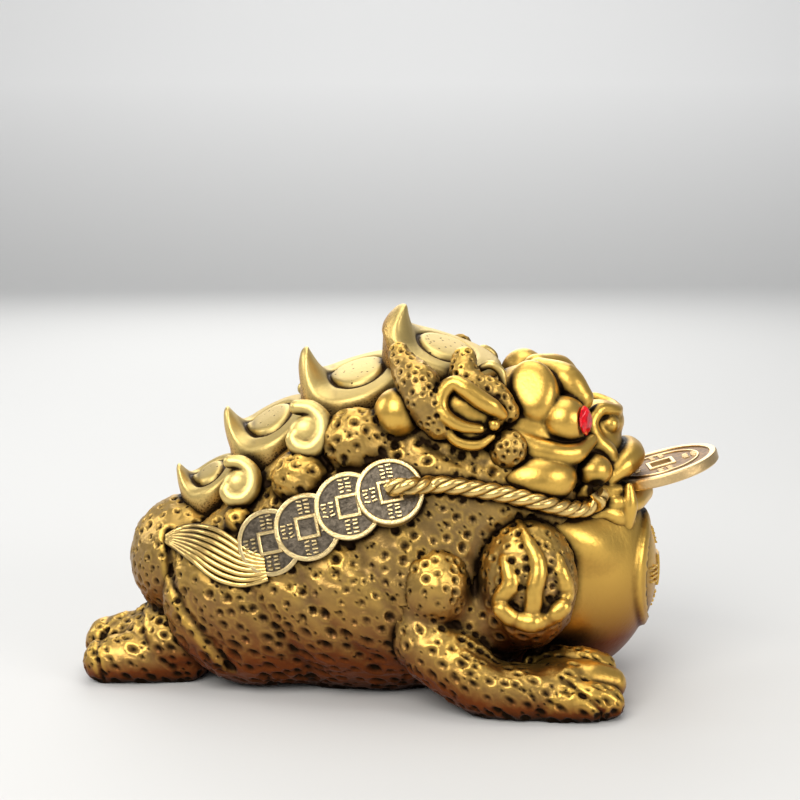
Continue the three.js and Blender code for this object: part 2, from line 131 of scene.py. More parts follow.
class Clay:
    """A form that is sculpted in a box: a field of distances on which shapes are joined, cut and grooved."""

    def __init__(self, low, high, step):
        self.low = np.array(low, float)
        self.step = step
        count = np.ceil((np.array(high) - self.low) / step).astype(int) + 1
        self.field = np.full(count, FAR, np.float32)
        self.pitted = np.zeros(count, np.float32)

    def around(self, low, high, margin):
        """The part of the box round two corners, and its X, Y and Z."""
        first = np.maximum(np.floor((np.array(low) - margin - self.low) / self.step), 0).astype(int)
        last = np.ceil((np.array(high) + margin - self.low) / self.step).astype(int) + 1
        last = np.maximum(np.minimum(last, self.field.shape), first)
        axes = [(self.low[i] + self.step * np.arange(first[i], last[i])).astype(np.float32) for i in range(3)]
        return tuple(slice(a, b) for a, b in zip(first, last)), np.meshgrid(*axes, indexing="ij", sparse=True)

    def merge(self, part, distance, blend, pitted=0.0, cut=False):
        """Joins a shape to the form, or cuts it out, with a soft seam as wide as the blend."""
        old = -self.field[part] if cut else self.field[part]
        share = np.clip(0.5 + 0.5 * (old - distance) / blend, 0, 1)
        new = old + (distance - old) * share - blend * share * (1 - share)
        self.field[part] = -new if cut else new
        if not cut:
            self.pitted[part] = np.where(share > 0.5, pitted, self.pitted[part])

    def ball(self, centre, radii, blend=1.5, pitch=0, yaw=0, pitted=0.0, cut=False, face=None):
        """An ellipsoid, with a flat face where one is given as its direction and its distance out."""
        turn = turned(pitch, yaw)
        radii = np.ones(3) * radii
        reach = np.abs(turn) @ radii
        centre = np.array(centre, float)
        part, (x, y, z) = self.around(centre - reach, centre + reach, blend + 2 * self.step)
        offset = (x - centre[0], y - centre[1], z - centre[2])
        local = [sum(turn[i, j] * offset[i] for i in range(3)) for j in range(3)]
        near = np.sqrt(sum((local[j] / radii[j]) ** 2 for j in range(3)))
        slope = np.sqrt(sum((local[j] / radii[j] ** 2) ** 2 for j in range(3)))
        distance = near * (near - 1) / np.maximum(slope, 1e-6)
        if face:
            plane = sum(face[0][i] * offset[i] for i in range(3)) / np.linalg.norm(face[0]) - face[1]
            share = np.clip(0.5 + 0.5 * (plane - distance) / FACE_SEAM, 0, 1)
            distance = distance + (plane - distance) * share + FACE_SEAM * share * (1 - share)
        self.merge(part, distance, blend, pitted, cut)

    def to_path(self, path, sizes, margin):
        """Distances to a bar along a path, in the box round it."""
        margin = margin + sizes.max() + 2 * self.step
        part, _ = self.around(path.min(0), path.max(0), margin)
        nearest = np.full([s.stop - s.start for s in part], FAR, np.float32)
        for a, b, size_a, size_b in zip(path, path[1:], sizes, sizes[1:]):
            piece, grid = self.around(np.minimum(a, b), np.maximum(a, b), margin)
            here = tuple(slice(s.start - w.start, s.stop - w.start) for s, w in zip(piece, part))
            along = b - a
            offset = [grid[i] - a[i] for i in range(3)]
            t = np.clip(sum(offset[i] * along[i] for i in range(3)) / max(along @ along, 1e-9), 0, 1)
            away = [offset[i] - t * along[i] for i in range(3)]
            distance = np.sqrt(sum(w * w for w in away)) - (size_a + t * (size_b - size_a))
            nearest[here] = np.minimum(nearest[here], distance)
        return part, nearest

    def tube(self, points, radii, blend=1.0, pitted=0.0, samples=6):
        """A round bar along a smooth path, as thick at each point as its radius says."""
        path = smooth_path(points, samples)
        part, distance = self.to_path(path, between(radii, len(path)), blend)
        self.merge(part, distance, blend, pitted)

    def line(self, points, width, depth, out=8):
        """Presses a line of [forward, up] points into the side, and raises it where the depth is negative."""
        path = smooth_path(points, 6)
        low, high = path.min(0), path.max(0)
        part, (x, _, z) = self.around([low[0], out, low[1]], [high[0], 70, high[1]], 3 * width)
        x, z = x[:, :, 0], z[:, 0, :]
        nearest = np.full((x.shape[0], z.shape[1]), FAR, np.float32)
        for a, b in zip(path, path[1:]):
            along = b - a
            t = np.clip(((x - a[0]) * along[0] + (z - a[1]) * along[1]) / (along @ along), 0, 1)
            nearest = np.minimum(nearest, np.hypot(x - a[0] - t * along[0], z - a[1] - t * along[1]))
        self.field[part] += depth * np.exp(-((nearest / width) ** 2))[:, None, :]

    def level(self, height=0.0):
        """Cuts off what lies under a height."""
        z = self.low[2] + self.step * np.arange(self.field.shape[2])
        self.field = np.maximum(self.field, (height - z).astype(np.float32))

    def at(self, points, values=None, normals=None):
        """The distance, or another value of the grid, at each point."""
        values = self.field if values is None else values
        spots = np.rint((points - self.low) / self.step).astype(int)
        inside = ((spots >= 0) & (spots < values.shape)).all(1)
        found = np.full(len(points), FAR)
        found[inside] = values[tuple(spots[inside].T)]
        if normals is not None:
            past = self.low + self.step * spots[inside] - points[inside]
            found[inside] -= (past * normals[inside]).sum(1)
        return found

    def outer(self, forward, up):
        """How far out the surface lies at a place in side view, or 0 where there is none."""
        i, k = np.rint((forward - self.low[0]) / self.step), np.rint((up - self.low[2]) / self.step)
        if not (0 <= i < self.field.shape[0] and 0 <= k < self.field.shape[2]):
            return 0.0
        column = self.field[int(i), :, int(k)]
        inside = np.nonzero(column[:-1] < 0)[0]
        if not len(inside):
            return 0.0
        j = inside[-1]
        return self.low[1] + self.step * (j + column[j] / (column[j] - column[j + 1]))

    def mirror(self):
        """Adds the other half of a box that starts at the plane of symmetry."""
        self.field = np.concatenate([self.field[:, :0:-1], self.field], axis=1)
        self.pitted = np.concatenate([self.pitted[:, :0:-1], self.pitted], axis=1)
        self.low[1] = -self.step * (self.field.shape[1] // 2)

    def surface(self):
        """The surface as points and four-cornered faces that look outwards."""
        for axis in range(3):
            for end in (0, -1):
                rim = tuple(end if i == axis else slice(None) for i in range(3))
                self.field[rim] = np.maximum(self.field[rim], 0.01)
        inside = self.field < 0
        cells = np.array(self.field.shape) - 1
        corners = [np.array([i, j, k]) for i in (0, 1) for j in (0, 1) for k in (0, 1)]
        blocks = [tuple(slice(c, c + n) for c, n in zip(corner, cells)) for corner in corners]
        filled = sum(inside[block].astype(np.int8) for block in blocks)
        crossed = (filled > 0) & (filled < 8)
        number = np.full(crossed.shape, -1)
        number[crossed] = np.arange(crossed.sum())
        spots = np.argwhere(crossed)
        total = np.zeros(spots.shape)
        hits = np.zeros(len(spots))
        for axis in range(3):
            step = np.eye(3, dtype=int)[axis]
            for corner in (c for c in corners if not c[axis]):
                a = self.field[tuple((spots + corner).T)]
                b = self.field[tuple((spots + corner + step).T)]
                cut = (a < 0) != (b < 0)
                at = (spots + corner)[cut].astype(float)
                at[:, axis] += a[cut] / (a[cut] - b[cut])
                total[cut] += at
                hits[cut] += 1
        points = self.low + self.step * total / hits[:, None]
        faces = []
        for axis in range(3):
            a = np.take(inside, range(cells[axis]), axis)
            b = np.take(inside, range(1, cells[axis] + 1), axis)
            u, v = np.eye(3, dtype=int)[(axis + 1) % 3], np.eye(3, dtype=int)[(axis + 2) % 3]
            start = np.argwhere(a != b)
            start = start[(start[:, (axis + 1) % 3] > 0) & (start[:, (axis + 2) % 3] > 0)]
            quads = np.stack([number[tuple(s.T)] for s in (start, start - u, start - u - v, start - v)], 1)
            outwards = a[tuple(start.T)]
            faces.append(np.where(outwards[:, None], quads, quads[:, ::-1]))
        return points, np.concatenate(faces)


def directed_edges(faces):
    """The edges of each face, in its own direction."""
    return np.concatenate([faces[:, [i, (i + 1) % 4]] for i in range(4)])


def averaged(values, edges, rounds):
    """Each point's values after some rounds of averaging with its neighbours."""
    start, end = edges.T
    size = len(values)
    count = np.maximum(np.bincount(start, minlength=size), 1)
    for _ in range(rounds):
        around = [np.bincount(start, weights=column[end], minlength=size) for column in values.T]
        values = 0.5 * values + 0.5 * np.stack(around, 1) / count[:, None]
    return values


def normals_of(points, faces):
    """The outward direction at each point."""
    corners = points[faces]
    normal = np.cross(corners[:, 2] - corners[:, 0], corners[:, 3] - corners[:, 1])
    flat = np.repeat(normal, 4, axis=0)
    sums = [np.bincount(faces.ravel(), weights=column, minlength=len(points)) for column in flat.T]
    total = np.stack(sums, 1)
    return total / np.maximum(np.linalg.norm(total, axis=1, keepdims=True), 1e-12)


class Skin:
    """A sculpted surface with its marks: how hollow, pitted and walled each point is."""

    def __init__(self, points, faces, pitted):
        self.points = points
        self.faces = faces
        self.edges = directed_edges(faces)
        self.points = averaged(points, self.edges, 1)
        self.marks = {"pitted": averaged(pitted[:, None], self.edges, 3)[:, 0]}
        self.marks["pit"] = np.zeros(len(points))

    def swell(self, height):
        """Moves each point along its normal."""
        self.points = self.points + normals_of(self.points, self.faces) * height[:, None]

    def pits(self, layers, seed):
        """Ringed craters over the pitted skin, drawn out down the slope on the low flanks.

        A layer gives their spacing, smallest and largest radius, depth in radii, and how many of the places
        are used.
        """
        random = np.random.default_rng(seed)
        tree = KDTree(len(self.points))
        for i, point in enumerate(self.points):
            tree.insert(point, i)
        tree.balance()
        rough = averaged(random.normal(size=(len(self.points), 1)), self.edges, 4)[:, 0]
        rough /= rough.std()
        rise = 0.04 * rough * self.marks["pitted"]
        downhill = np.array([0.82, 0, -0.57])
        bare = (self.marks["pitted"] < 0.5) | (self.points[:, 2] < 1.2)
        for spacing, small, large, depth, share in layers:
            taken = bare.copy()
            for i in random.permutation(len(self.points)):
                if taken[i]:
                    continue
                radius = random.uniform(small, large)
                gap = spacing * random.uniform(0.6, 1.25)
                found = tree.find_range(self.points[i], max(gap, 2.6 * radius))
                index = np.array([spot[1] for spot in found])
                offset = self.points[index] - self.points[i]
                square = (offset**2).sum(1)
                taken[index[square < gap**2]] = True
                if random.random() > share:
                    continue
                stretch = 1 + 0.9 * np.clip((36 - self.points[i, 2]) / 22, 0, 1)
                along = offset @ downhill
                across = np.sqrt(square - along**2 + (along / stretch) ** 2)
                near = across / radius * (1 + 0.07 * rough[index])
                bowl = np.clip(1 - near**2, 0, 1) ** 1.3
                lip = np.exp(-(((near - 1.25) / 0.3) ** 2))
                rise[index] += radius * depth * (0.24 * lip - bowl)
                self.marks["pit"][index] = np.maximum(self.marks["pit"][index], bowl)
                self.marks["edge"][index] = np.maximum(self.marks["edge"][index], 0.5 * lip)
        self.swell(rise)

    def lumps(self, size, height, seed):
        """A soft unevenness of the skin."""
        random = np.random.default_rng(seed)
        total = np.zeros(len(self.points))
        for _ in range(9):
            direction = random.normal(size=3)
            direction *= 2 * math.pi / (size * random.uniform(0.6, 1.6) * np.linalg.norm(direction))
            total += np.sin(self.points @ direction + random.uniform(0, 7))
        self.swell(height * total / 3 * self.marks["pitted"])

    def creases(self, scale):
        """Marks fine creases and edges by the distance of each point from its smoothed place."""
        normal = normals_of(self.points, self.faces)
        fine = ((averaged(self.points, self.edges, 5) - self.points) * normal).sum(1) / (0.16 * scale)
        self.marks["crease"] = np.clip(averaged(np.clip(fine, 0, 2)[:, None], self.edges, 1)[:, 0], 0, 1)
        self.marks["edge"] = np.clip(averaged(np.clip(-fine, 0, 2)[:, None], self.edges, 1)[:, 0], 0, 1)

    def mirrored(self):
        """A copy on the other side of the figure."""
        other = Skin.__new__(Skin)
        other.points = self.points * [1, -1, 1]
        other.faces = self.faces[:, ::-1]
        other.edges = directed_edges(other.faces)
        other.marks = {name: values.copy() for name, values in self.marks.items()}
        return other


def skin_of(clay):
    """The skin on a form of clay."""
    points, faces = clay.surface()
    return Skin(points, faces, clay.at(points, clay.pitted))


def add_mark(mesh, name, values):
    """Gives each point of a mesh a value that a material reads."""
    mesh.attributes.new(name, "FLOAT", "POINT").data.foreach_set("value", np.array(values, np.float32))


def mesh_object(name, points, faces, marks, smooth=True):
    """A Blender mesh in metres from points in carving units, with one attribute for each mark."""
    mesh = bpy.data.meshes.new(name)
    mesh.from_pydata((np.array(points) * UNIT).tolist(), [], [list(map(int, face)) for face in faces])
    if smooth:
        mesh.shade_smooth()
    for mark, values in marks.items():
        add_mark(mesh, mark, values)
    made = bpy.data.objects.new(name, mesh)
    bpy.context.scene.collection.objects.link(made)
    return made


RUMP_CREASE = [[-69.5, 54], [-68.6, 43], [-65, 34.5], [-60, 26.6], [-53, 18], [-47, 10]]


def trunk():
    """Belly, back, haunches and the big warts beside the ingots."""
    clay = Clay([-84, 0, -3], [92, 50, 108], 0.85)
    clay.ball([2, 0, 36], [69, 45, 42], 4, pitted=1)
    clay.ball([12, 0, 58], [75.5, 39.2, 46], 6, pitch=-20, pitted=1)
    clay.ball([42, 22, 66], [27, 14.5, 11.5], 5, pitch=12, pitted=1)
    clay.ball([-37, 19, 33], [34.5, 18.3, 32], 4, pitted=1)
    clay.ball([-4, 25, 86.5], [13, 9, 12.5], 1, pitted=1)
    clay.ball([-23.2, 27, 75.5], [10, 9, 9.5], 1, pitted=1)
    clay.ball([-44.3, 26, 61], [5, 6, 5], 1, pitted=1)
    clay.ball([9.1, 26, 97.5], [8, 8.4, 8.4], 0.6)
    clay.line(RUMP_CREASE, 1.7, 1.8)
    clay.line([[-41.5, 40.7], [-35.3, 31.5], [-27.8, 20.8], [-21.2, 12]], 3.2, 1.5)
    clay.line([[-24, 44], [-17, 34], [-8, 24], [2, 14]], 3.0, 1.2)
    clay.line([[-8, 57], [0, 47], [7, 36], [10, 24]], 3.0, 1.3)
    clay.line([[-62, 36], [-55, 26], [-46, 14]], 2.4, 0.9)
    clay.line([[-68, 57], [-58, 50], [-50, 40]], 2.2, 0.6)
    clay.line([[17, 89], [26, 84], [38, 81]], 1.6, 1.2)
    clay.mirror()
    clay.level()
    return clay


def hind_leg():
    """The single hind leg, straight back from under the rump, with three toes."""
    clay = Clay([-106, 0, -3], [-38, 26, 68], 0.66)
    clay.ball([-65, 0, 42], [20.5, 22, 22], 2, pitted=1)
    clay.ball([-68, 0, 14], [20, 21, 14], 3, pitted=1)
    clay.tube([[-66, 0, 12], [-82, 0, 12.8], [-94.3, 0, 10.6]], [9, 9.6, 8.3], 1.4, pitted=1)
    clay.tube([[-66, 9, 7.5], [-82, 11.5, 8], [-93.4, 12, 7]], [9.5, 9.3, 8], 1.2, pitted=1)
    clay.line(RUMP_CREASE, 1.5, 1.6)
    clay.line([[-80.5, 24.5], [-88, 22.5], [-94.5, 18.5]], 0.7, 0.9, 2)
    clay.line([[-80.5, 22.3], [-87, 20.5], [-92.5, 17.5], [-94.5, 14]], 0.7, 0.8, 2)
    clay.line([[-95.6, 14.5], [-95, 9], [-93.4, 2]], 0.8, 1.1, 2)
    clay.line([[-83, 27], [-81, 21], [-78, 15]], 1.3, 1.0, 6)
    clay.mirror()
    clay.level()
    return clay


# The tongues of the flame from tip to root and the bar that joins them, as [forward, up], with their radii.
FLAME = [
    (
        [[43.5, 52.6], [45.1, 48.6], [45.8, 44.9], [43.6, 41.3], [42.6, 37.9], [44.6, 34.9]],
        [1.5, 2.6, 3.2, 3.2, 3.1, 2.9],
    ),
    (
        [[48.8, 63.2], [51.8, 57.3], [54.1, 53], [54.5, 48.6], [53.3, 43.6], [53, 38.9], [52.1, 34.5]],
        [1.0, 2.1, 2.7, 3.0, 3.0, 3.1, 3.1],
    ),
    (
        [[61.6, 52.6], [62, 48.6], [63.3, 44.6], [63.7, 40.2], [61.2, 35.9]],
        [1.3, 2.7, 3.1, 3.1, 3.0],
    ),
    (
        [[42.7, 36.9], [46.3, 33.9], [52.5, 32.8], [58.3, 33.9], [62.5, 37.2]],
        [3.0, 3.2, 3.5, 3.4, 3.1],
    ),
]


def foreleg():
    """Elbow, shoulder, forearm along the table, and a three-toed foot; a flame lies over the shoulder."""
    clay = Clay([2, 12, -3], [90, 62, 70], 0.66)
    clay.ball([21.4, 35.5, 40], [12.8, 13.5, 14.8], 1.5, pitted=1)
    clay.ball([51.7, 34.5, 41.2], [17.3, 16.6, 22.3], 1.5, pitted=1)
    clay.ball([36, 29, 28], [20, 15, 18], 3, pitted=1)
    clay.tube(
        [[15, 36, 32], [18.5, 39, 22.5], [28, 43, 16], [39, 46.5, 9.5], [52, 48, 8], [64, 46, 8]],
        [9, 11, 11.3, 10.3, 9.6, 9],
        2,
        pitted=1,
    )
    clay.tube([[60, 50, 6], [71, 51.5, 5.8], [77.5, 50, 5.2]], [7.6, 7, 5.8], 0.8, pitted=0.5)
    clay.tube([[60, 42.5, 10], [72, 43, 10], [79.5, 41.5, 8.8]], [7.6, 7, 5.6], 0.8, pitted=0.45)
    clay.tube([[58, 33.5, 12], [70, 34.5, 12], [77, 33.5, 11]], [7.2, 6.8, 5.8], 0.8, pitted=0.6)
    clay.line([[62.5, 13.8], [70.5, 8.8], [74.5, 4.5], [75.5, 1]], 0.8, 1.2, 44)
    clay.line([[75.5, 5], [73, 0.5]], 0.7, 0.8, 44)
    clay.line([[30, 25], [40, 19], [52, 17.5], [62, 19]], 1.6, 1.0, 40)
    for tongue, radii in FLAME:
        path = [[forward, clay.outer(forward, up) - 0.5, up] for forward, up in smooth_path(tongue, 4)]
        clay.tube(path, radii, 0.6, samples=1)
    clay.level()
    return clay


def chest():
    """The smooth chest, with the sunk field and the rim of its coin."""
    clay = Clay([24, 0, -3], [105, 38, 84], 0.8)
    clay.ball(CHEST_CENTRE, CHEST_RADII, 1)
    clay.ball([64, 18.5, 55.5], [20, 13.5, 9.5], 5, pitch=25)
    inner = MEDALLION_RADIUS - 3.2
    part, (x, y, z) = clay.around([70, 0, 14], [104, 24, 62], 0)
    radial = np.sqrt(y**2 + (z - CHEST_CENTRE[2]) ** 2)
    offset = (x - CHEST_CENTRE[0], y, z - CHEST_CENTRE[2])
    near = np.sqrt(sum((offset[i] / CHEST_RADII[i]) ** 2 for i in range(3)))
    height = (near - 1) * CHEST_RADII[0]
    disc = np.maximum(height - 1.5, radial - MEDALLION_RADIUS)
    field = np.maximum(0.45 - height, radial - inner)
    clay.merge(part, np.maximum(disc, -field), 0.5)
    clay.mirror()
    clay.level()
    return clay


def head():
    """Skull, brows, eyes, nose, cheeks and lips, with a slot for the loose coin."""
    clay = Clay([12, 0, 50], [104, 40, 118], 0.57)
    clay.ball([48, 0, 84], [34, 29.5, 23], 1, pitch=5)
    clay.ball([75, 0, 81], [13, 17.5, 14], 4)
    clay.ball([57, 0, 101], [14, 12, 9], 3, pitch=12)
    clay.ball([80, 0, 65], [14, 17.5, 10], 3)
    clay.ball([55.2, 26.3, 75], [14, 10.6, 9.3], 0.7, pitch=-3)
    clay.ball([75.1, 20, 76.8], [6.8, 6.8, 5.6], 0.7)
    clay.tube([[58, 5, 108], [66, 11, 106.2], [71, 14, 100.5]], [5.3, 6, 4.8], 0.8)
    clay.ball([54.8, 17, 101.6], [9.2, 10.4, 12.4], 0.6, pitch=-8, face=([-0.12, 0.84, 0.52], 8.0))
    clay.ball(EYE_CENTRE, EYE_RADIUS, 0.5)
    lid = [[46.5, 25.5, 91.5], [52, 27.5, 86.8], [60, 28, 84], [68, 25.5, 83.6], [74.5, 20, 87]]
    clay.tube(lid, [2, 3.9, 4.3, 3.9, 2.2], 0.6)
    clay.ball([79.5, 0, 90.5], [8.8, 12.3, 7.2], 2)
    nose = [[86, 0, 94.5], [84, 7, 95], [78.5, 11.5, 96.2], [75, 13.5, 92.5], [75.2, 14.8, 88.5]]
    clay.tube(nose, [2, 2.4, 2.4, 2.8, 3], 0.8)
    nose_fold = [[75.2, 14.8, 88.5], [77.2, 15, 85.2], [81.2, 14.4, 81.4], [82, 14.2, 77.4]]
    clay.tube(nose_fold, [3, 3.3, 3.2, 2], 0.8)
    clay.ball([82.1, 9.8, 90.8], [3.2, 3.4, 3.1], 0.4)
    clay.tube([[81, 17, 73.5], [86.5, 13, 77], [90, 7, 79], [90.5, 0, 79.4]], [3, 4.4, 4.8, 5], 0.8)
    clay.tube([[82, 18, 65], [90, 12.5, 64], [95, 0, 65]], [3.4, 3.7, 4.2], 0.8)
    clay.tube([[70, 21.5, 67.5], [74, 22, 70.5], [80, 18.5, 69], [87, 14, 69]], [3, 3.2, 2.8, 2.6], 0.5)
    clay.tube([[72.5, 22, 60], [78, 20, 62], [83.5, 17.5, 60], [88, 12.5, 57]], [2.6, 2.8, 3.8, 3.6], 0.5)
    clay.tube([[87, 15.5, 57], [88.2, 17.6, 64], [88, 17.4, 70.5]], [3.3, 3, 1.5], 0.4)
    looks = EYE_LOOKS / np.linalg.norm(EYE_LOOKS)
    yaw = math.degrees(math.atan2(EYE_LOOKS[1], EYE_LOOKS[0]))
    clay.ball(EYE_CENTRE + looks * (EYE_RADIUS - 0.4), [2.6, 4.5, 5.3], 0.3, yaw=yaw, cut=True)
    part, (x, y, z) = clay.around([80, 0, 62], [104, 24, 84], 0)
    along, up = math.cos(MOUTH_COIN_RISE), math.sin(MOUTH_COIN_RISE)
    height = np.abs((z - MOUTH_COIN_CENTRE[2]) * along - (x - MOUTH_COIN_CENTRE[0]) * up)
    forward = (x - MOUTH_COIN_CENTRE[0]) * along + (z - MOUTH_COIN_CENTRE[2]) * up
    radial = np.sqrt(forward**2 + y**2)
    slot = np.maximum(radial - MOUTH_COIN_RADIUS - COIN_GAP, height - MOUTH_COIN_THICKNESS / 2 - COIN_GAP)
    clay.merge(part, slot, 0.3, cut=True)
    clay.mirror()
    return clay


def ear():
    """Two pitted points that lean on the first ingot, a folded shell, and the pitted ball below it."""
    clay = Clay([3, 10, 76], [56, 44, 124], 0.5)
    clay.ball([33, 20, 97], [15, 12, 13], 2, pitted=1)
    horn = [[9.4, 20.5, 117.5], [11.5, 23, 112.5], [15.5, 27.5, 107.5], [18, 31, 101.5], [22.8, 32.5, 94]]
    clay.tube(horn, [3.2, 5, 7.2, 6.6, 4.6], 1.5, pitted=1)
    clay.tube([[31.4, 19, 114.6], [31.4, 22.5, 110], [34, 26.5, 104]], [4.1, 5.2, 5.4], 1.5, pitted=1)
    clay.tube([[34, 25, 107], [41, 26.5, 104], [45.5, 27, 98]], [4, 4.6, 4], 2, pitted=1)
    clay.ball([45.6, 30, 85.9], [6.8, 6.4, 6.8], 0.6, pitted=1)
    clay.ball([33, 28.5, 98.5], [12, 6.5, 8.5], 1, pitch=20)
    clay.ball([32, 28.5, 91.5], [9, 6.5, 4.5], 1)
    rim = [
        [43, 33.5, 98.2], [39.8, 35.5, 101], [35.9, 35.5, 103.4], [31, 35, 107], [27.3, 34, 108.6],
        [24, 34, 105.6], [23.2, 34.8, 101], [25.5, 36, 97.2], [30.5, 36.4, 94.6], [36, 36, 93.8],
    ]
    clay.tube(rim, [2.2, 2.9, 3.1, 3, 2.5, 2.4, 2.4, 2.4, 2.1, 1.6], 0.5)
    fold = [[25.4, 34, 94.8], [26.8, 34.8, 91.2], [30.2, 35.4, 88.9], [35.4, 35.4, 88.4], [40, 34, 90.8]]
    clay.tube(fold, [1.5, 1.9, 2, 1.9, 1.4], 0.4)
    clay.ball([40.6, 35.2, 95], 2.1, 0.3)
    return clay


# The ingots from the head to the rump. The dome is a place as [forward, up], and half holds half the length
# and half the width.
INGOTS = [
    dict(dome=[24.3, 117.4], pitch=17, half=[21.8, 18], point=9.8, oval=[10.3, 12], offset=1.5),
    dict(dome=[-5.8, 108], pitch=-17, half=[20.8, 19.5], point=13.5, oval=[10.4, 12.5], offset=1),
    dict(dome=[-36.2, 91], pitch=-28, half=[16.4, 18], point=11, oval=[8.9, 11.2], offset=0.5),
    dict(dome=[-57.5, 72], pitch=-30, half=[11.8, 13.5], point=8.5, oval=[6.3, 8.4], offset=0),
]
INGOT_LEAN = 11


def ingot(dome, pitch, half, point, oval, offset):
    """A boat whose rear point curls up, with an oval dome on its deck."""
    clay = Clay([-half[0] - 2.5, -half[1] - 2.5, -15], [half[0] + 2.5, half[1] + 2.5, point + 4], 0.6)
    part, (x, y, z) = clay.around(clay.low, clay.low + 200, 0)
    shifted = x - 0.42 * np.clip(z, 0, point) + 0.8 * math.tan(math.radians(pitch)) * np.minimum(z, 0)
    back = np.clip((-shifted / half[0] - 0.36) / 0.54, 0, 1)
    curl = point * back**1.4 * np.exp(-((y / (0.6 * half[1])) ** 2))
    deck = curl - np.where(y < 0, 0.0075, 0.002) * y**2
    below = z - deck
    taper = 1 + 0.05 * np.sin(math.pi * np.clip(-below / 11, 0, 1)) - 0.03 * np.clip(-below / 12, 0, 1)
    wall = (np.sqrt((shifted / half[0]) ** 2 + (y / half[1]) ** 2) - taper) * min(half)
    share = np.clip(0.5 + 0.5 * (below * 0.8 - wall) / 1.4, 0, 1)
    body = wall + (below * 0.8 - wall) * share + 1.4 * share * (1 - share)
    ring = np.sqrt(((x - offset) / oval[0]) ** 2 + (y / oval[1]) ** 2)
    edge = (ring - 1) * min(oval)
    body = body + 0.9 * np.exp(-((edge / 0.75) ** 2)) * (below > -3)
    body = body - 0.7 * np.clip(-edge / 2.5, 0, 1) ** 0.5 * (below > -4)
    clay.merge(part, np.maximum(body, -14 - z), 0.3)
    wall_mark = np.clip(-below / 7, 0, 1)
    skin = skin_of(clay)
    skin.marks["wall"] = np.clip(clay.at(skin.points, wall_mark), 0, 1)
    skin.marks["dome"] = np.clip(clay.at(skin.points, np.clip(-edge / 0.5, 0, 1) * (below > -3)), 0, 1)
    tilt = Euler((math.radians(INGOT_LEAN), math.radians(pitch), 0)).to_matrix()
    spot = np.array([dome[0], 0, dome[1]])
    clay.tilt, clay.spot = np.array(tilt), spot
    skin.points = skin.points @ clay.tilt.T + spot
    return clay, skin


# The arm of a cloud scroll, which starts at an ingot's front end and curls in, as [forward, up].
SCROLL_ARM = [
    [-2.3, 8.3], [2.3, 7.7], [6.2, 4], [6.3, -1], [3, -4.6],
    [-1, -4.4], [-3.3, -1.8], [-2.2, 0.7], [0.3, 1.2], [1.3, -0.2],
]
SCROLL_RADII = [2.6, 3.1, 3.5, 3.6, 3.5, 3.3, 2.7, 2.1, 1.7, 1.3]
SCROLLS = [{"centre": [-22.6, 25, 90.2], "size": 1.0}, {"centre": [-46, 22, 71.8], "size": 0.9}]


def scrolls():
    """The scrolls beside the ingots, and the small loop behind the ear."""
    clay = Clay([-60, 6, 58], [50, 38, 118], 0.52)
    for scroll in SCROLLS:
        forward, out, up = scroll["centre"]
        size = scroll["size"]
        path = []
        for i, (along, over) in enumerate(SCROLL_ARM):
            path.append([forward + size * along, out - 0.45 * size * over + 0.12 * i, up + size * over])
        clay.ball([forward + 1.2, out - 0.6, up - 0.4], [6.4 * size, 4.2, 6.4 * size], 1)
        clay.tube(path, [size * radius for radius in SCROLL_RADII], 0.35, samples=3)
    loop = [[36.5, 21, 111.5], [40.2, 21.5, 113], [43.6, 22, 110.6], [44.2, 22.5, 106.5]]
    clay.tube(loop, [1.2, 1.6, 1.6, 1.4], 0.4)
    return clay


class Value:
    """A socket of a node tree. Python's operators on it add Math nodes."""

    def __init__(self, graph, socket):
        self.graph = graph
        self.socket = socket

    def math(self, operation, a, b):
        return self.graph.node("ShaderNodeMath", {"operation": operation}, {0: a, 1: b})

    def __add__(self, other):
        return self.math("ADD", self, other)

    def __sub__(self, other):
        return self.math("SUBTRACT", self, other)

    def __mul__(self, other):
        return self.math("MULTIPLY", self, other)

    def __truediv__(self, other):
        return self.math("DIVIDE", self, other)

    def __rsub__(self, other):
        return self.math("SUBTRACT", other, self)

    __radd__ = __add__
    __rmul__ = __mul__

    def clamped(self):
        return self.graph.node("ShaderNodeClamp", {}, {"Value": self})

    def ramp(self, low, high):
        """0 at the low value and 1 at the high one."""
        return self.graph.node("ShaderNodeMapRange", {}, {"Value": self, "From Min": low, "From Max": high})


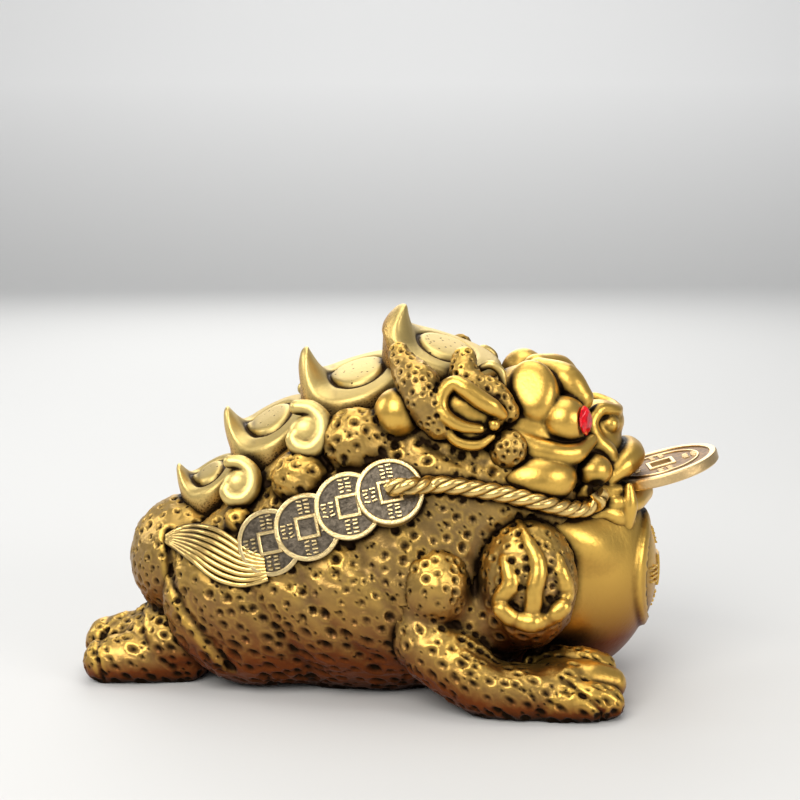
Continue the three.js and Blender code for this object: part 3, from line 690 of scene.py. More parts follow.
class Graph:
    """A node tree that is written as Python expressions."""

    def __init__(self, tree):
        self.tree = tree

    def node(self, kind, settings, sockets, out=0):
        """Adds a node: its settings first, then the values or links of its sockets."""
        made = self.tree.nodes.new(kind)
        for name, value in settings.items():
            setattr(made, name, value)
        for name, value in sockets.items():
            if isinstance(value, Value):
                self.tree.links.new(value.socket, made.inputs[name])
            else:
                made.inputs[name].default_value = value
        return Value(self, made.outputs[out]) if len(made.outputs) else made

    def mark(self, name):
        return self.node("ShaderNodeAttribute", {"attribute_name": name}, {}, "Fac")

    def place(self):
        return self.node("ShaderNodeTexCoord", {}, {}, "Object")

    def noise(self, scale):
        sockets = {"Vector": self.place(), "Scale": scale, "Detail": 3.0, "Roughness": 0.55}
        return self.node("ShaderNodeTexNoise", {}, sockets)

    def cells(self, scale):
        return self.node("ShaderNodeTexVoronoi", {}, {"Vector": self.place(), "Scale": scale}, "Distance")

    def height(self):
        """The height over the table."""
        return self.node("ShaderNodeSeparateXYZ", {}, {0: self.place()}, "Z") / UNIT

    def blend(self, share, a, b):
        """Colour a where the share is 0 and b where it is 1."""
        return self.node("ShaderNodeMix", {"data_type": "RGBA"}, {0: share, 6: a, 7: b}, 2)

    def vector(self, name):
        """A direction that the base line carries."""
        return self.node("GeometryNodeInputNamedAttribute", {"data_type": "FLOAT_VECTOR"}, {"Name": name})

    def scaled(self, vector, factor):
        return self.node("ShaderNodeVectorMath", {"operation": "SCALE"}, {0: vector, "Scale": factor})

    def total(self, a, b):
        return self.node("ShaderNodeVectorMath", {"operation": "ADD"}, {0: a, 1: b})

    def copies(self, line, amount):
        """Copies of a line, and the number of each."""
        sockets = {"Geometry": line, "Amount": amount}
        made = self.node("GeometryNodeDuplicateElements", {"domain": "SPLINE"}, sockets)
        return made, Value(self, made.socket.node.outputs["Duplicate Index"])

    def strand(self, line, radius, sides):
        """A capped round strand along a line."""
        section = self.node("GeometryNodeCurvePrimitiveCircle", {}, {"Resolution": sides, "Radius": radius})
        sockets = {"Curve": line, "Profile Curve": section, "Fill Caps": True}
        return self.node("GeometryNodeCurveToMesh", {}, sockets)


def finish(name, build):
    """A material whose surface is one Principled shader, with what build returns in its sockets."""
    made = bpy.data.materials.new(name)
    made.use_nodes = True
    made.node_tree.nodes.clear()
    graph = Graph(made.node_tree)
    shader = graph.node("ShaderNodeBsdfPrincipled", {}, build(graph))
    graph.node("ShaderNodeOutputMaterial", {}, {"Surface": shader})
    return made


GOLD = (0.76, 0.47, 0.10, 1)
PALE_GOLD = (0.76, 0.57, 0.205, 1)
BROWN_GOLD = (0.25, 0.165, 0.074, 1)
# Red-brown near the table, deepened as painted shade where the skin faces down
RED_BROWN = (0.19, 0.050, 0.013, 1)
# The dark of painted shade in the hollows, creases and pits, and of the patina mottle
SHADE_AND_PATINA = (0.018, 0.010, 0.005, 1)
COIN_FIELD = (0.085, 0.070, 0.052, 1)
COIN_GOLD = (0.86, 0.66, 0.32, 1)
ROSE_BRASS = (0.84, 0.60, 0.29, 1)
ROSE_FIELD = (0.12, 0.065, 0.022, 1)
CHEST_FIELD = (0.14, 0.070, 0.022, 1)
WALL_GOLD = (0.62, 0.34, 0.09, 1)
# The dark of painted shade in the ingots' hollows and creases, and of patina in the stippled walls
PALE_SHADE_AND_PATINA = (0.05, 0.03, 0.014, 1)
STRAND_GOLD = (0.84, 0.58, 0.20, 1)
# Painted shade between the strands and on the tassel faces turned to the flank
STRAND_SHADE = (0.035, 0.018, 0.008, 1)
DEEP_RED = (0.30, 0.0, 0.004, 1)
BRIGHT_RED = (0.90, 0.002, 0.012, 1)
FLOOR_GREY = (0.60, 0.60, 0.59, 1)
BACKDROP_WHITE = (0.92, 0.92, 0.91, 1)


def metal(graph, colour, roughness, relief, depth):
    """The sockets of a metal whose fine relief is this deep."""
    normal = graph.node("ShaderNodeBump", {}, {"Height": relief, "Distance": depth * UNIT, "Strength": 1.0})
    return {"Base Color": colour, "Metallic": 1.0, "Roughness": roughness, "Normal": normal}


def antique_brass(graph):
    """Polished on the high forms, brown on the pitted skin, redder near the table, with painted light: golder
    where the skin faces up, a deeper painted red-brown shade where it faces down, and painted shade darkening
    the hollows, creases and pits over a patina mottle.
    """
    pitted = graph.mark("pitted").clamped()
    cloud = graph.noise(60.0)
    grain = graph.noise(850.0)
    patch = graph.noise(170.0)
    # Painted shade: the hollow mark (how closely other pieces, the strings and the table enclose the skin)
    # and the crease mark darken the colour
    hollow = graph.mark("hollow") * 1.05 + graph.mark("crease") * 0.5
    # Painted shade in the hollows and pits, with a random patina mottle over the pitted skin
    shade_and_patina = hollow * (0.75 + 0.5 * patch) + 1.1 * graph.mark("pit") + pitted * 0.6 * (patch - 0.5)
    dark = (shade_and_patina - 0.04 + 0.25 * (grain - 0.5)).clamped()
    low = 1 - graph.height().ramp(4.0, 66.0)
    down = 1 - graph.mark("facing").ramp(-0.55, 0.35)
    worn = graph.mark("edge") * 0.8
    lit = graph.mark("facing").clamped()
    # Painted light: pitted skin that faces up is golder and less brown
    brown = (pitted * (0.85 + 0.8 * (cloud - 0.5) - 0.4 * lit) - worn).clamped()
    skin = graph.blend(brown, GOLD, BROWN_GOLD)
    # Redder near the table; painted shade makes it deeper where the skin faces down and weaker where it faces
    # up
    red = (low * (0.42 + 1.0 * down) * (1 - 0.85 * lit) - 0.4 * worn).clamped()
    warm = graph.blend(red, skin, RED_BROWN)
    colour = graph.blend(dark, warm, SHADE_AND_PATINA)
    roughness = 0.34 + 0.04 * pitted + 0.2 * dark + 0.1 * (grain - 0.5)
    relief = grain * 0.4 + graph.noise(330.0) * (0.25 + 0.6 * pitted)
    return metal(graph, colour, roughness, relief, 0.2)


def ingot_gold(graph):
    """Pale gold with walls stippled darker downwards, fine pits on the dome, and painted shade darkening the
    hollows and creases.
    """
    wall = graph.mark("wall").clamped()
    stipple = 1 - graph.cells(1300.0).ramp(0.12, 0.5)
    specks = (1 - graph.cells(420.0).ramp(0.10, 0.2)) * graph.mark("dome")
    grain = graph.noise(900.0)
    patch = graph.noise(120.0)
    # Painted shade from the hollow and crease marks, with patina in the wall stipple
    shade_and_patina = graph.mark("hollow") * 0.95 + 0.7 * graph.mark("crease") + wall * stipple * (0.2 + 1.3 * patch)
    dark = (shade_and_patina + specks * 0.8 - 0.05).clamped()
    base = graph.blend((wall * 0.9).clamped(), PALE_GOLD, WALL_GOLD)
    colour = graph.blend(dark, base, PALE_SHADE_AND_PATINA)
    relief = 0.3 * grain - specks - 0.5 * wall * stipple
    return metal(graph, colour, 0.42 + 0.15 * dark, relief, 0.25)


def worn_coin(graph, field, rim, roughness):
    """Dark in the field and gold on the rims and strokes."""
    grain = graph.noise(1100.0)
    worn = (graph.mark("high") * (1.05 + 0.5 * (grain - 0.5))).clamped()
    mottled = graph.blend(graph.noise(650.0).ramp(0.4, 0.66), field, [2.1 * c for c in field[:3]] + [1])
    colour = graph.blend(worn, mottled, rim)
    return metal(graph, colour, roughness + 0.14 * (1 - worn), grain, 0.14)


def coin_metal(graph):
    """The coins of the strings."""
    return worn_coin(graph, COIN_FIELD, COIN_GOLD, 0.3)


def rosy_brass(graph):
    """The loose coin."""
    return worn_coin(graph, ROSE_FIELD, ROSE_BRASS, 0.3)


def chest_coin_brass(graph):
    """The frame and strokes of the chest coin."""
    return worn_coin(graph, CHEST_FIELD, GOLD, 0.28)


def strand_brass(graph):
    """The ropes and tassels: gold on the strands' backs, with painted shade between the strands and on the
    tassel faces turned to the flank.
    """
    grain = graph.noise(700.0)
    # Gold where the high mark is; elsewhere painted shade, in the grooves of the rope and on tassel faces
    # turned away from out and up
    worn = (graph.mark("high") * (1.1 + 0.5 * (grain - 0.5))).clamped()
    colour = graph.blend(worn, STRAND_SHADE, STRAND_GOLD)
    return metal(graph, colour, 0.46 - 0.18 * worn, grain, 0.12)


def red_glass(graph):
    """The eye stones."""
    depth = graph.noise(420.0).ramp(0.35, 0.65)
    colour = graph.blend(depth, DEEP_RED, BRIGHT_RED)
    gloss = {"Roughness": 0.08, "IOR": 1.5, "Coat Weight": 0.3, "Coat Roughness": 0.03}
    return {"Base Color": colour, "Metallic": 0.0, **gloss}


def new_tree(name, sizes):
    """A geometry node tree with named inputs for its sizes, and its input and output nodes."""
    tree = bpy.data.node_groups.new(name, "GeometryNodeTree")
    tree.interface.new_socket(name="Geometry", in_out="INPUT", socket_type="NodeSocketGeometry")
    for label, kind in sizes.items():
        tree.interface.new_socket(name=label, in_out="INPUT", socket_type="NodeSocket" + kind)
    tree.interface.new_socket(name="Geometry", in_out="OUTPUT", socket_type="NodeSocketGeometry")
    graph = Graph(tree)
    start = tree.nodes.new("NodeGroupInput")
    end = tree.nodes.new("NodeGroupOutput")
    return graph, {s.name: Value(graph, s) for s in start.outputs if s.name}, end


def close_tree(graph, geometry, material, end):
    """Ends a tree with plain geometry in one material."""
    real = graph.node("GeometryNodeRealizeInstances", {}, {"Geometry": geometry})
    coloured = graph.node("GeometryNodeSetMaterial", {}, {"Geometry": real, "Material": material})
    graph.tree.links.new(coloured.socket, end.inputs[0])


def grown(base, graph, name, sizes):
    """What a tree makes of a base object, as a plain mesh object; the base is removed."""
    modifier = base.modifiers.new(name, "NODES")
    modifier.node_group = graph.tree
    sockets = {s.name: s.identifier for s in graph.tree.interface.items_tree if s.in_out == "INPUT"}
    for label, value in sizes.items():
        modifier[sockets[label]] = value
    seen = base.evaluated_get(bpy.context.evaluated_depsgraph_get())
    mesh = bpy.data.meshes.new_from_object(seen)
    mesh.name = name
    base.modifiers.remove(modifier)
    bpy.data.objects.remove(base)
    made = bpy.data.objects.new(name, mesh)
    bpy.context.scene.collection.objects.link(made)
    return made


def rope_tree(material):
    """Three strands that twist round each other along the base line."""
    sizes = {"Strand radius": "Float", "Offset": "Float", "Turns": "Float", "Strands": "Int"}
    graph, size, end = new_tree("Twisted rope", sizes)
    line = graph.node("GeometryNodeMeshToCurve", {}, {"Mesh": size["Geometry"]})
    even = graph.node("GeometryNodeResampleCurve", {}, {"Curve": line, "Count": 150})
    copies, index = graph.copies(even, size["Strands"])
    along = graph.node("GeometryNodeSplineParameter", {}, {}, "Factor")
    angle = (along * size["Turns"] + index / size["Strands"]) * (2 * math.pi)
    across = graph.node("GeometryNodeInputNormal", {}, {})
    tangent = graph.node("GeometryNodeInputTangent", {}, {})
    aside = graph.node("ShaderNodeVectorMath", {"operation": "CROSS_PRODUCT"}, {0: tangent, 1: across})
    cosine = graph.node("ShaderNodeMath", {"operation": "COSINE"}, {0: angle}) * size["Offset"]
    sine = graph.node("ShaderNodeMath", {"operation": "SINE"}, {0: angle}) * size["Offset"]
    offset = graph.total(graph.scaled(across, cosine), graph.scaled(aside, sine))
    wound = graph.node("GeometryNodeSetPosition", {}, {"Geometry": copies, "Offset": offset})
    close_tree(graph, graph.strand(wound, size["Strand radius"], 10), material, end)
    return graph


def tassel_tree(material):
    """Strands side by side: the base line's spread parts them, and its fall lays the outer ones down."""
    graph, size, end = new_tree("Tassel", {"Strand radius": "Float", "Strands": "Int"})
    line = graph.node("GeometryNodeMeshToCurve", {}, {"Mesh": size["Geometry"]})
    copies, index = graph.copies(line, size["Strands"])
    share = index / (size["Strands"] - 1) * 2 - 1
    along = graph.node("GeometryNodeSplineParameter", {}, {}, "Factor")
    aside = graph.scaled(graph.vector("spread"), share)
    offset = graph.total(aside, graph.scaled(graph.vector("fall"), share * share))
    placed = graph.node("GeometryNodeSetPosition", {}, {"Geometry": copies, "Offset": offset})
    thick = graph.node("GeometryNodeSetCurveRadius", {}, {"Curve": placed, "Radius": along * 0.75 + 0.35})
    close_tree(graph, graph.strand(thick, size["Strand radius"], 8), material, end)
    return graph


def coin_tree(material):
    """One coin on each point of the base, turned by the point's own angles."""
    graph, size, end = new_tree("Coins on a string", {"Coin": "Object"})
    coin = graph.node("GeometryNodeObjectInfo", {}, {"Object": size["Coin"]}, "Geometry")
    turn = graph.node("FunctionNodeEulerToRotation", {}, {"Euler": graph.vector("angles")})
    sockets = {"Points": size["Geometry"], "Instance": coin, "Rotation": turn}
    placed = graph.node("GeometryNodeInstanceOnPoints", {}, sockets)
    close_tree(graph, placed, material, end)
    return graph


AROUND = 64  # points of each loop
FACETS = 10  # round an eye stone


def ring(shape, size, height):
    """A closed loop of points: round, or square with its sides along X and Y."""
    angle = 2 * math.pi * np.arange(AROUND) / AROUND
    c, s = np.cos(angle), np.sin(angle)
    reach = size if shape == "round" else size / np.maximum(abs(c), abs(s))
    return np.stack([reach * c, reach * s, np.full(AROUND, height)], 1)


def turned_body(rings, marks, closed):
    """A body from loops: a tube that closes on itself, or one whose first and last loops are capped."""
    points = np.concatenate(rings)
    count = len(rings)
    faces = []
    for i in range(count if closed else count - 1):
        a, b = i * AROUND, ((i + 1) % count) * AROUND
        faces += [[a + k, a + (k + 1) % AROUND, b + (k + 1) % AROUND, b + k] for k in range(AROUND)]
    if not closed:
        faces.append(list(range(AROUND))[::-1])
        faces.append([(count - 1) * AROUND + k for k in range(AROUND)])
    return points, faces, np.repeat(marks, AROUND)


def stroke(centre, length, width, angle, low, high):
    """A short bar with sloping sides."""
    c, s = math.cos(angle), math.sin(angle)
    points = []
    for shrink, z in ((1.0, low), (0.68, high)):
        for x, y in ((-1, -1), (1, -1), (1, 1), (-1, 1)):
            u, v = x * (length / 2 - (1 - shrink) * width / 2), y * width / 2 * shrink
            points.append([centre[0] + c * u - s * v, centre[1] + s * u + c * v, z])
    faces = [[3, 2, 1, 0], [4, 5, 6, 7]] + [[i, (i + 1) % 4, 4 + (i + 1) % 4, 4 + i] for i in range(4)]
    return np.array(points), faces, np.repeat([0.3, 1.0], 4)


def stroke_rows(reach, size, low, high, seed):
    """Four groups of rows of plain strokes round the middle of a coin."""
    random = np.random.default_rng(seed)
    made = []
    for quarter in range(4):
        turn = quarter * math.pi / 2
        middle = np.array([math.cos(turn), math.sin(turn)]) * reach
        for row in range(4):
            for column in range(2):
                spot = np.array([(column - 0.5) * 0.5, (row - 1.5) * 0.27]) * size
                spot = spot + random.uniform(-0.03, 0.03, 2) * size
                length = size * random.uniform(0.26, 0.44)
                angle = random.uniform(-0.3, 0.3)
                made.append(stroke(middle + spot, length, 0.15 * size, angle, low, high))
    return made


def gathered(parts):
    """Several bodies as one list of points, faces and marks."""
    points, faces, marks, start = [], [], [], 0
    for own, own_faces, own_marks in parts:
        points.append(own)
        faces += [[start + i for i in face] for face in own_faces]
        marks.append(own_marks)
        start += len(own)
    return np.concatenate(points), faces, np.concatenate(marks)


def cash_coin():
    """One coin of a string, its face at z = 0: a raised rim, a square frame and rows of strokes."""
    radius, inner, field = CASH_COIN_RADIUS - 0.2, CASH_COIN_RADIUS - 1.7, -0.85
    square, framed = 2.8, 3.9
    profile = [
        ("square", 0.8, field - 0.1, 0.0),
        ("square", square - 0.1, field, 0.0),
        ("square", square, -0.2, 0.7),
        ("square", square + 0.25, 0, 1.0),
        ("square", framed - 0.2, 0, 1.0),
        ("square", framed, -0.2, 0.7),
        ("square", framed + 0.1, field, 0.0),
        ("round", inner - 0.1, field, 0.0),
        ("round", inner, -0.25, 0.6),
        ("round", inner + 0.3, -0.02, 1.0),
        ("round", radius - 0.35, -0.02, 1.0),
        ("round", radius, -0.35, 0.9),
        ("round", radius, -4.6, 0.2),
    ]
    body = turned_body([ring(s, r, z) for s, r, z, _ in profile], [m for *_, m in profile], False)
    return gathered([body, *stroke_rows(6.8, 4.9, field - 0.3, -0.12, 3)])


def mouth_coin():
    """The loose coin about its own middle, with a square hole through it."""
    face, field = MOUTH_COIN_THICKNESS / 2, MOUTH_COIN_THICKNESS / 2 - 0.5
    inner, hole, framed = MOUTH_COIN_RADIUS - 2.6, 3.5, 4.9
    upper = [
        ("square", hole, face - 0.2, 0.6),
        ("square", hole + 0.2, face, 1.0),
        ("square", framed - 0.2, face, 1.0),
        ("square", framed, field, 0.0),
        ("round", inner - 4.6, field, 0.0),
        ("round", inner - 4.4, face - 0.1, 1.0),
        ("round", inner - 3.8, face - 0.1, 1.0),
        ("round", inner - 3.6, field, 0.0),
        ("round", inner, field, 0.0),
        ("round", inner + 0.2, face, 1.0),
        ("round", MOUTH_COIN_RADIUS - 0.5, face, 1.0),
        ("round", MOUTH_COIN_RADIUS - 0.05, face - 0.5, 0.8),
    ]
    profile = upper + [(s, r, -z, m) for s, r, z, m in upper[::-1]]
    body = turned_body([ring(s, r, z) for s, r, z, _ in profile], [m for *_, m in profile], True)
    strokes = stroke_rows(10.5, 6.2, field - 0.3, face - 0.12, 5)
    under = [(p * [1, -1, -1], f, m) for p, f, m in strokes]
    return gathered([body, *strokes, *under])


def medallion_relief():
    """The square frame and the strokes of the chest coin, bent over the round chest."""
    square, framed = 4.0, 5.6
    loops = [(square, 0.2, 0.0), (square, 1.2, 0.8), (square + 0.25, 1.45, 1.0), (framed - 0.25, 1.45, 1.0)]
    loops += [(framed, 1.2, 0.8), (framed, 0.2, 0.0)]
    frame_body = turned_body([ring("square", r, z) for r, z, _ in loops], [m for *_, m in loops], True)
    points, faces, marks = gathered([frame_body, *stroke_rows(11.4, 6.2, 0.2, 1.35, 9)])
    across, up, height = points.T
    drop = np.sqrt(1 - (across / CHEST_RADII[1]) ** 2 - (up / CHEST_RADII[2]) ** 2)
    forward = CHEST_CENTRE[0] + CHEST_RADII[0] * drop + height
    return np.stack([forward, across, CHEST_CENTRE[2] + up], 1), faces, marks


# The loops of an eye stone from its table to its back: size, depth, and turn in facets.
EYE_STONE_LOOPS = [(0.55, 1.62, 0), (0.82, 1.1, 0.5), (1.0, 0.28, 0), (1.0, -0.35, 0), (0.5, -1.7, 0.5)]


def eye_stone(side):
    """A cut stone: a table, a crown of kites and a girdle, over a pointed back."""
    looks = Vector((EYE_LOOKS[0], EYE_LOOKS[1] * side, EYE_LOOKS[2])).normalized()
    across = Vector((0, 0, 1)).cross(looks).normalized()
    upright = looks.cross(across)
    centre = Vector(EYE_CENTRE * [1, side, 1]) + looks * (EYE_RADIUS - 0.5)
    wide, tall = EYE_STONE_RADII
    points = []
    for size, depth, turn in EYE_STONE_LOOPS:
        for k in range(FACETS):
            angle = 2 * math.pi * (k + turn) / FACETS
            reach = wide * size * math.sin(angle) * (1 - 0.3 * abs(math.cos(angle)) ** 3)
            rise = tall * size * math.cos(angle)
            points.append(list(centre + upright * rise + across * reach + looks * depth))
    last = FACETS * (len(EYE_STONE_LOOPS) - 1)
    faces = [list(range(FACETS)), list(range(last, last + FACETS))[::-1]]
    for a in range(0, last, FACETS):
        for k in range(FACETS):
            here, beside = a + k, a + (k + 1) % FACETS
            faces += [[here, here + FACETS, beside], [beside, here + FACETS, beside + FACETS]]
    made = mesh_object(f"eye_stone_{SIDE_WORDS[side]}_cut", points, faces, {}, False)
    face_outwards(made)
    return made


def face_outwards(made):
    """Turns a closed body's faces outwards."""
    body = bmesh.new()
    body.from_mesh(made.data)
    bmesh.ops.recalc_face_normals(body, faces=body.faces)
    body.to_mesh(made.data)
    body.free()


def base_line(name, path, vectors=None):
    """A plain line of points for a tree to work on."""
    mesh = bpy.data.meshes.new(name)
    mesh.from_pydata((np.array(path) * UNIT).tolist(), [[i, i + 1] for i in range(len(path) - 1)], [])
    for mark, values in (vectors or {}).items():
        kept = mesh.attributes.new(mark, "FLOAT_VECTOR", "POINT")
        kept.data.foreach_set("vector", np.array(values, float).ravel())
    made = bpy.data.objects.new(name, mesh)
    bpy.context.scene.collection.objects.link(made)
    return made


def sided(points, side):
    """Points given as [forward, out, up] on one side of the figure."""
    return np.array(points, float) * [1, side, 1]


def shade(made, angle=None):
    """Smooth shading, with sharp edges over an angle."""
    made.data.shade_smooth()
    if angle:
        made.data.set_sharp_from_angle(angle=math.radians(angle))


def ride(made, node, material=None):
    """Puts a piece on the figure's body in the place of a node, with the given material if there is one."""
    if material:
        made.data.materials.clear()
        made.data.materials.append(material)
    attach(made, "root")
    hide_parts(node)
    return made


def settled(path, forms, height):
    """The path moved along the line of sight to run at a height over the toad, and evened out."""
    outs = np.arange(60, 4, -0.25)
    sight = (SEEN_FROM - path) / (SEEN_FROM - path)[:, 1:2]
    spots = path[:, None] + sight[:, None] * (outs[None, :, None] - path[:, None, 1:2])
    distance = np.min([form.at(spots.reshape(-1, 3)) for form in forms], axis=0).reshape(len(path), len(outs))
    met = distance < height
    out = np.where(met.any(1), outs[met.argmax(1)], path[:, 1])
    out = np.convolve(np.pad(out, 4, mode="edge"), np.ones(9) / 9, mode="valid")
    return path + sight * (out[:, None] - path[:, 1:2])


def string_routes(forms):
    """The middle line of the rope, and the edges and the middle of the tassel, as they lie on the toad."""
    rope = smooth_path(ROPE_ROUTE, 10)
    free = np.clip((rope[:, :1] - 12) / 8, 0, 1)
    rope += (settled(rope, [forms["trunk"], forms["head"]], 1.9) - rope) * free
    flank = [forms["trunk"], forms["hind_leg"]]
    top = settled(smooth_path(TASSEL_TOP, 8), flank, 0.7)
    low = settled(smooth_path(TASSEL_LOW, 8), flank, 0.7)
    return {"rope": rope, "top": top, "middle": settled((top + low) / 2, flank, 0.7), "low": low}


def distance_to_coins(points, side):
    """The distance of each point to the coins of one flank."""
    nearest = np.full(len(points), FAR)
    for coin in CASH_COINS:
        axis = sided(coin["looks"], side)
        axis /= np.linalg.norm(axis)
        offset = points - sided(coin["face"], side)
        height = offset @ axis
        radial = np.linalg.norm(offset - height[:, None] * axis, axis=1) - CASH_COIN_RADIUS
        beyond = np.abs(height + 2.4) - 2.2
        nearest = np.minimum(nearest, np.hypot(np.maximum(radial, 0), np.maximum(beyond, 0)))
    return nearest


def distance_to_line(points, path, radius):
    """The distance of each point to a round bar along a path."""
    low, high = path.min(0) - radius - 3, path.max(0) + radius + 3
    inside = ((points > low) & (points < high)).all(1)
    found = np.full(len(points), FAR)
    near = points[inside]
    best = np.full(len(near), FAR)
    for spot in path:
        best = np.minimum(best, np.linalg.norm(near - spot, axis=1))
    found[inside] = best - radius
    return found


def nearest_form(points, normals, forms, routes):
    """The distance of each point to the nearest piece, string or the table."""
    nearest = np.minimum(FAR, points[:, 2] + 1.5)
    for name, clay in forms.items():
        for side in SIDES if name.endswith("_left") else (LEFT,):
            place, facing = points * [1, side, 1], normals * [1, side, 1]
            if hasattr(clay, "tilt"):
                place, facing = (place - clay.spot) @ clay.tilt, facing @ clay.tilt
            nearest = np.minimum(nearest, clay.at(place, normals=facing))
    top, middle, low = (routes[line][::2] for line in ("top", "middle", "low"))
    tassel = np.concatenate([top, (top + middle) / 2, middle, (middle + low) / 2, low])
    for side in SIDES:
        nearest = np.minimum(nearest, distance_to_coins(points, side))
        nearest = np.minimum(nearest, distance_to_line(points, sided(routes["rope"], side), 3.0))
        nearest = np.minimum(nearest, distance_to_line(points, sided(tassel, side), 1.2))
    return nearest


def shelter(skin, forms, routes):
    """How enclosed each point of a skin is, from 0 on open ground to 1 in a deep hollow; the finishes paint
    it as shade.
    """
    normals = normals_of(skin.points, skin.faces)
    total = np.zeros(len(skin.points))
    for reach, weight in ((1.3, 0.42), (3.0, 0.5), (6.5, 0.5)):
        nearest = nearest_form(skin.points + normals * reach, normals, forms, routes)
        total += weight * np.clip(1 - nearest / reach, 0, 1)
    return np.clip(averaged(total[:, None], skin.edges, 2)[:, 0], 0, 1.2)


def sculpted_forms():
    """The clay and the skin of each piece."""
    forms = {"trunk": trunk(), "hind_leg": hind_leg(), "chest": chest(), "head": head()}
    skins = {name: skin_of(clay) for name, clay in forms.items()}
    for name, make in (("foreleg_left", foreleg), ("ear_left", ear), ("scrolls_left", scrolls)):
        forms[name] = make()
        skins[name] = skin_of(forms[name])
        skins[name.replace("left", "right")] = skins[name].mirrored()
    for number, sizes in enumerate(INGOTS, 1):
        forms[f"ingot_{number}"], skins[f"ingot_{number}"] = ingot(**sizes)
    return forms, skins


TRUNK_PITS = [(4.6, 1.05, 1.9, 0.75, 0.95), (2.8, 0.55, 0.8, 0.6, 0.35)]
LEG_PITS = [(4.2, 0.9, 1.55, 0.62, 0.95), (2.6, 0.5, 0.75, 0.55, 0.3)]
EAR_PITS = [(2.9, 0.8, 1.2, 0.7, 0.95)]


def sculpted_pieces(forms, skins, routes):
    """The toad's own skin, piece by piece."""
    brass = finish("Antique brass", antique_brass)
    pale = finish("Pale gold", ingot_gold)
    for number, (name, skin) in enumerate(skins.items()):
        # The hollow mark drives painted shade in the finishes: darker where other pieces, the strings or the
        # table enclose the skin
        skin.marks["hollow"] = shelter(skin, forms, routes)
        # The facing mark drives painted light in the brass: golder on skin that faces up, deeper red-brown
        # shade on skin that faces down
        skin.marks["facing"] = normals_of(skin.points, skin.faces)[:, 2]
        skin.creases(0.85 if name == "trunk" else 0.6)
        if name == "trunk":
            skin.lumps(9.0, 0.3, number)
            skin.pits(TRUNK_PITS, number)
        if name.startswith(("hind", "foreleg")):
            skin.lumps(8.0, 0.25, number)
            skin.pits(LEG_PITS, number)
        if name.startswith("ear"):
            skin.lumps(6.0, 0.15, number)
            skin.pits(EAR_PITS, number)
        gold = name.startswith(("ingot", "scrolls"))
        if gold:
            for mark in ("wall", "dome"):
                skin.marks.setdefault(mark, np.zeros(len(skin.points)))
        made = mesh_object(name + "_skin", skin.points, skin.faces, skin.marks)
        ride(made, "toad_casting", pale if gold else brass)


def mark_height(made, path, low, high):
    """Marks how high each point of a rope stands over its middle line."""
    points = np.array([v.co for v in made.data.vertices]) / UNIT
    away = distance_to_line(points, smooth_path(path, 4), 0.0)
    add_mark(made.data, "high", np.clip((away - low) / (high - low), 0, 1))


def mark_outward(made, side):
    """Marks how far each point of a tassel faces away from the flank, for painted light on those faces and
    painted shade on the ones turned to the flank.
    """
    normals = np.array([v.normal for v in made.data.vertices])
    add_mark(made.data, "high", np.clip((normals @ [0, 0.94 * side, 0.34] - 0.45) / 0.4, 0, 1))


def strings(routes):
    """The coins, ropes and tassels of both flanks."""
    grey_gold = finish("Grey-gold coin", coin_metal)
    strands = finish("Strand brass", strand_brass)
    points, faces, marks = cash_coin()
    pattern = mesh_object("coin_pattern", points, faces, {"high": marks})
    shade(pattern, 35)
    coins, ropes, tassels = coin_tree(grey_gold), rope_tree(strands), tassel_tree(strands)
    for side in SIDES:
        word = SIDE_WORDS[side]
        angles = []
        for coin in CASH_COINS:
            facing = Vector(sided(coin["looks"], side)).to_track_quat("Z", "Y")
            spin = Euler((0, 0, math.radians(coin["spin"] * -side))).to_quaternion()
            angles.append(list((facing @ spin).to_euler()))
        faces_at = [sided(coin["face"], side) for coin in CASH_COINS]
        base = base_line("coin_places", faces_at, {"angles": angles})
        made = grown(base, coins, f"coins_{word}", {"Coin": pattern})
        ride(made, "toad_casting")
        rope = sided(routes["rope"], side)
        base = base_line("rope_line", rope)
        sizes = {"Strand radius": 1.7 * UNIT, "Offset": 1.35 * UNIT, "Turns": 5.2 * side, "Strands": 3}
        made = grown(base, ropes, f"rope_{word}", sizes)
        mark_height(made, rope, 2.05, 2.85)
        shade(made)
        ride(made, "toad_casting")
        top, middle, low = (sided(routes[line], side) for line in ("top", "middle", "low"))
        lines = {"spread": (low - top) / 2 * UNIT, "fall": ((low + top) / 2 - middle) * UNIT}
        base = base_line("tassel_line", middle, lines)
        made = grown(base, tassels, f"tassel_{word}", {"Strand radius": 0.98 * UNIT, "Strands": 8})
        mark_outward(made, side)
        shade(made)
        ride(made, "toad_casting")
    bpy.data.objects.remove(pattern)


def loose_pieces():
    """The mouth coin, the chest coin's relief and the eye stones."""
    points, faces, marks = mouth_coin()
    forward = np.array([math.cos(MOUTH_COIN_RISE), 0, math.sin(MOUTH_COIN_RISE)])
    up = np.array([-math.sin(MOUTH_COIN_RISE), 0, math.cos(MOUTH_COIN_RISE)])
    placed = MOUTH_COIN_CENTRE + points[:, :1] * forward + points[:, 1:2] * [0, 1, 0] + points[:, 2:] * up
    made = mesh_object("mouth_coin_struck", placed, faces, {"high": marks})
    shade(made, 35)
    face_outwards(made)
    ride(made, "mouth_coin", finish("Rosy brass", rosy_brass))
    points, faces, marks = medallion_relief()
    made = mesh_object("chest_coin_relief", points, faces, {"high": marks})
    shade(made, 35)
    face_outwards(made)
    ride(made, "toad_casting", finish("Chest coin brass", chest_coin_brass))
    glass = finish("Red glass", red_glass)
    for side in SIDES:
        ride(eye_stone(side), f"eye_stone_{SIDE_WORDS[side]}", glass)


def paper(graph):
    """Matt paper, whiter where it rises behind the floor."""
    colour = graph.blend(graph.height().ramp(0.0, 300.0), FLOOR_GREY, BACKDROP_WHITE)
    return {"Base Color": colour, "Roughness": 0.75}


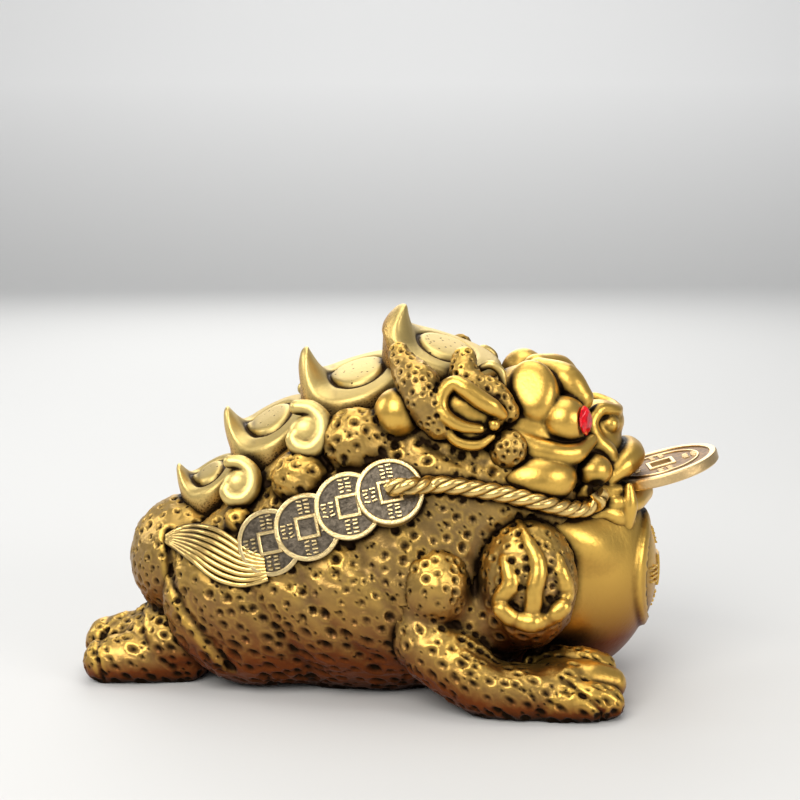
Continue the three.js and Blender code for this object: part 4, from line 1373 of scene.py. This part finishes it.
def studio():
    """A pale floor, soft lights, and the camera square to the toad's right side."""
    scene = bpy.context.scene
    profile = [(-2.4, 0.0), (1.6, 0.0)]
    profile += [(1.6 + 0.8 * math.sin(a), 0.8 - 0.8 * math.cos(a)) for a in np.linspace(0.1, math.pi / 2, 15)]
    profile += [(2.4, 2.2)]
    floor = bpy.data.meshes.new("floor")
    spots = [[x, y, z] for y, z in profile for x in (-3.0, 3.0)]
    floor.from_pydata(spots, [], [[2 * i, 2 * i + 1, 2 * i + 3, 2 * i + 2] for i in range(len(profile) - 1)])
    floor.shade_smooth()
    ground = bpy.data.objects.new("floor", floor)
    scene.collection.objects.link(ground)
    floor.materials.append(finish("Pale paper", paper))
    scene.world = bpy.data.worlds.new("studio")
    scene.world.use_nodes = True
    sky = scene.world.node_tree.nodes["Background"]
    sky.inputs["Color"].default_value = (0.93, 0.95, 1.0, 1)
    sky.inputs["Strength"].default_value = 0.30
    scene.view_settings.view_transform = "Standard"
    toad, backdrop = (0.01, 0, 0.055), (0, 2.4, 0.75)
    for name, place, aim, width, power, colour in (
        ("key", (-0.35, -0.75, 0.80), toad, 0.75, 10.0, (1.0, 0.97, 0.92)),
        ("front", (0.85, -0.60, 0.45), toad, 0.5, 4.0, (1.0, 0.97, 0.93)),
        ("top", (0.05, 0.15, 1.00), toad, 0.7, 4.0, (1.0, 1.0, 1.0)),
        ("rear", (-0.90, 0.20, 0.50), toad, 0.5, 3.0, (0.97, 0.98, 1.0)),
        ("back", (-0.10, 1.10, 0.75), toad, 0.9, 5.5, (1.0, 0.99, 0.97)),
        ("wash", (0, 1.00, 1.60), backdrop, 1.2, 14.0, (1.0, 1.0, 1.0)),
    ):
        light = bpy.data.lights.new(name, "AREA")
        light.size = width
        light.energy = power
        light.color = colour
        lamp = bpy.data.objects.new(name, light)
        lamp.location = place
        lamp.rotation_euler = (Vector(aim) - lamp.location).to_track_quat("-Z", "Y").to_euler()
        scene.collection.objects.link(lamp)
    camera = bpy.data.cameras.new("camera")
    camera.sensor_width = SENSOR_WIDTH
    camera.lens = SENSOR_WIDTH * CAMERA_DISTANCE / VIEW_WIDTH
    camera.clip_start = 0.01
    eye = bpy.data.objects.new("camera", camera)
    eye.location = Vector(sided(SEEN_FROM, RIGHT)) * UNIT
    eye.rotation_euler = (Vector(LOOKS_AT) * UNIT - eye.location).to_track_quat("-Z", "Y").to_euler()
    scene.collection.objects.link(eye)
    scene.camera = eye


forms, skins = sculpted_forms()
routes = string_routes(forms)
sculpted_pieces(forms, skins, routes)
strings(routes)
loose_pieces()
studio()
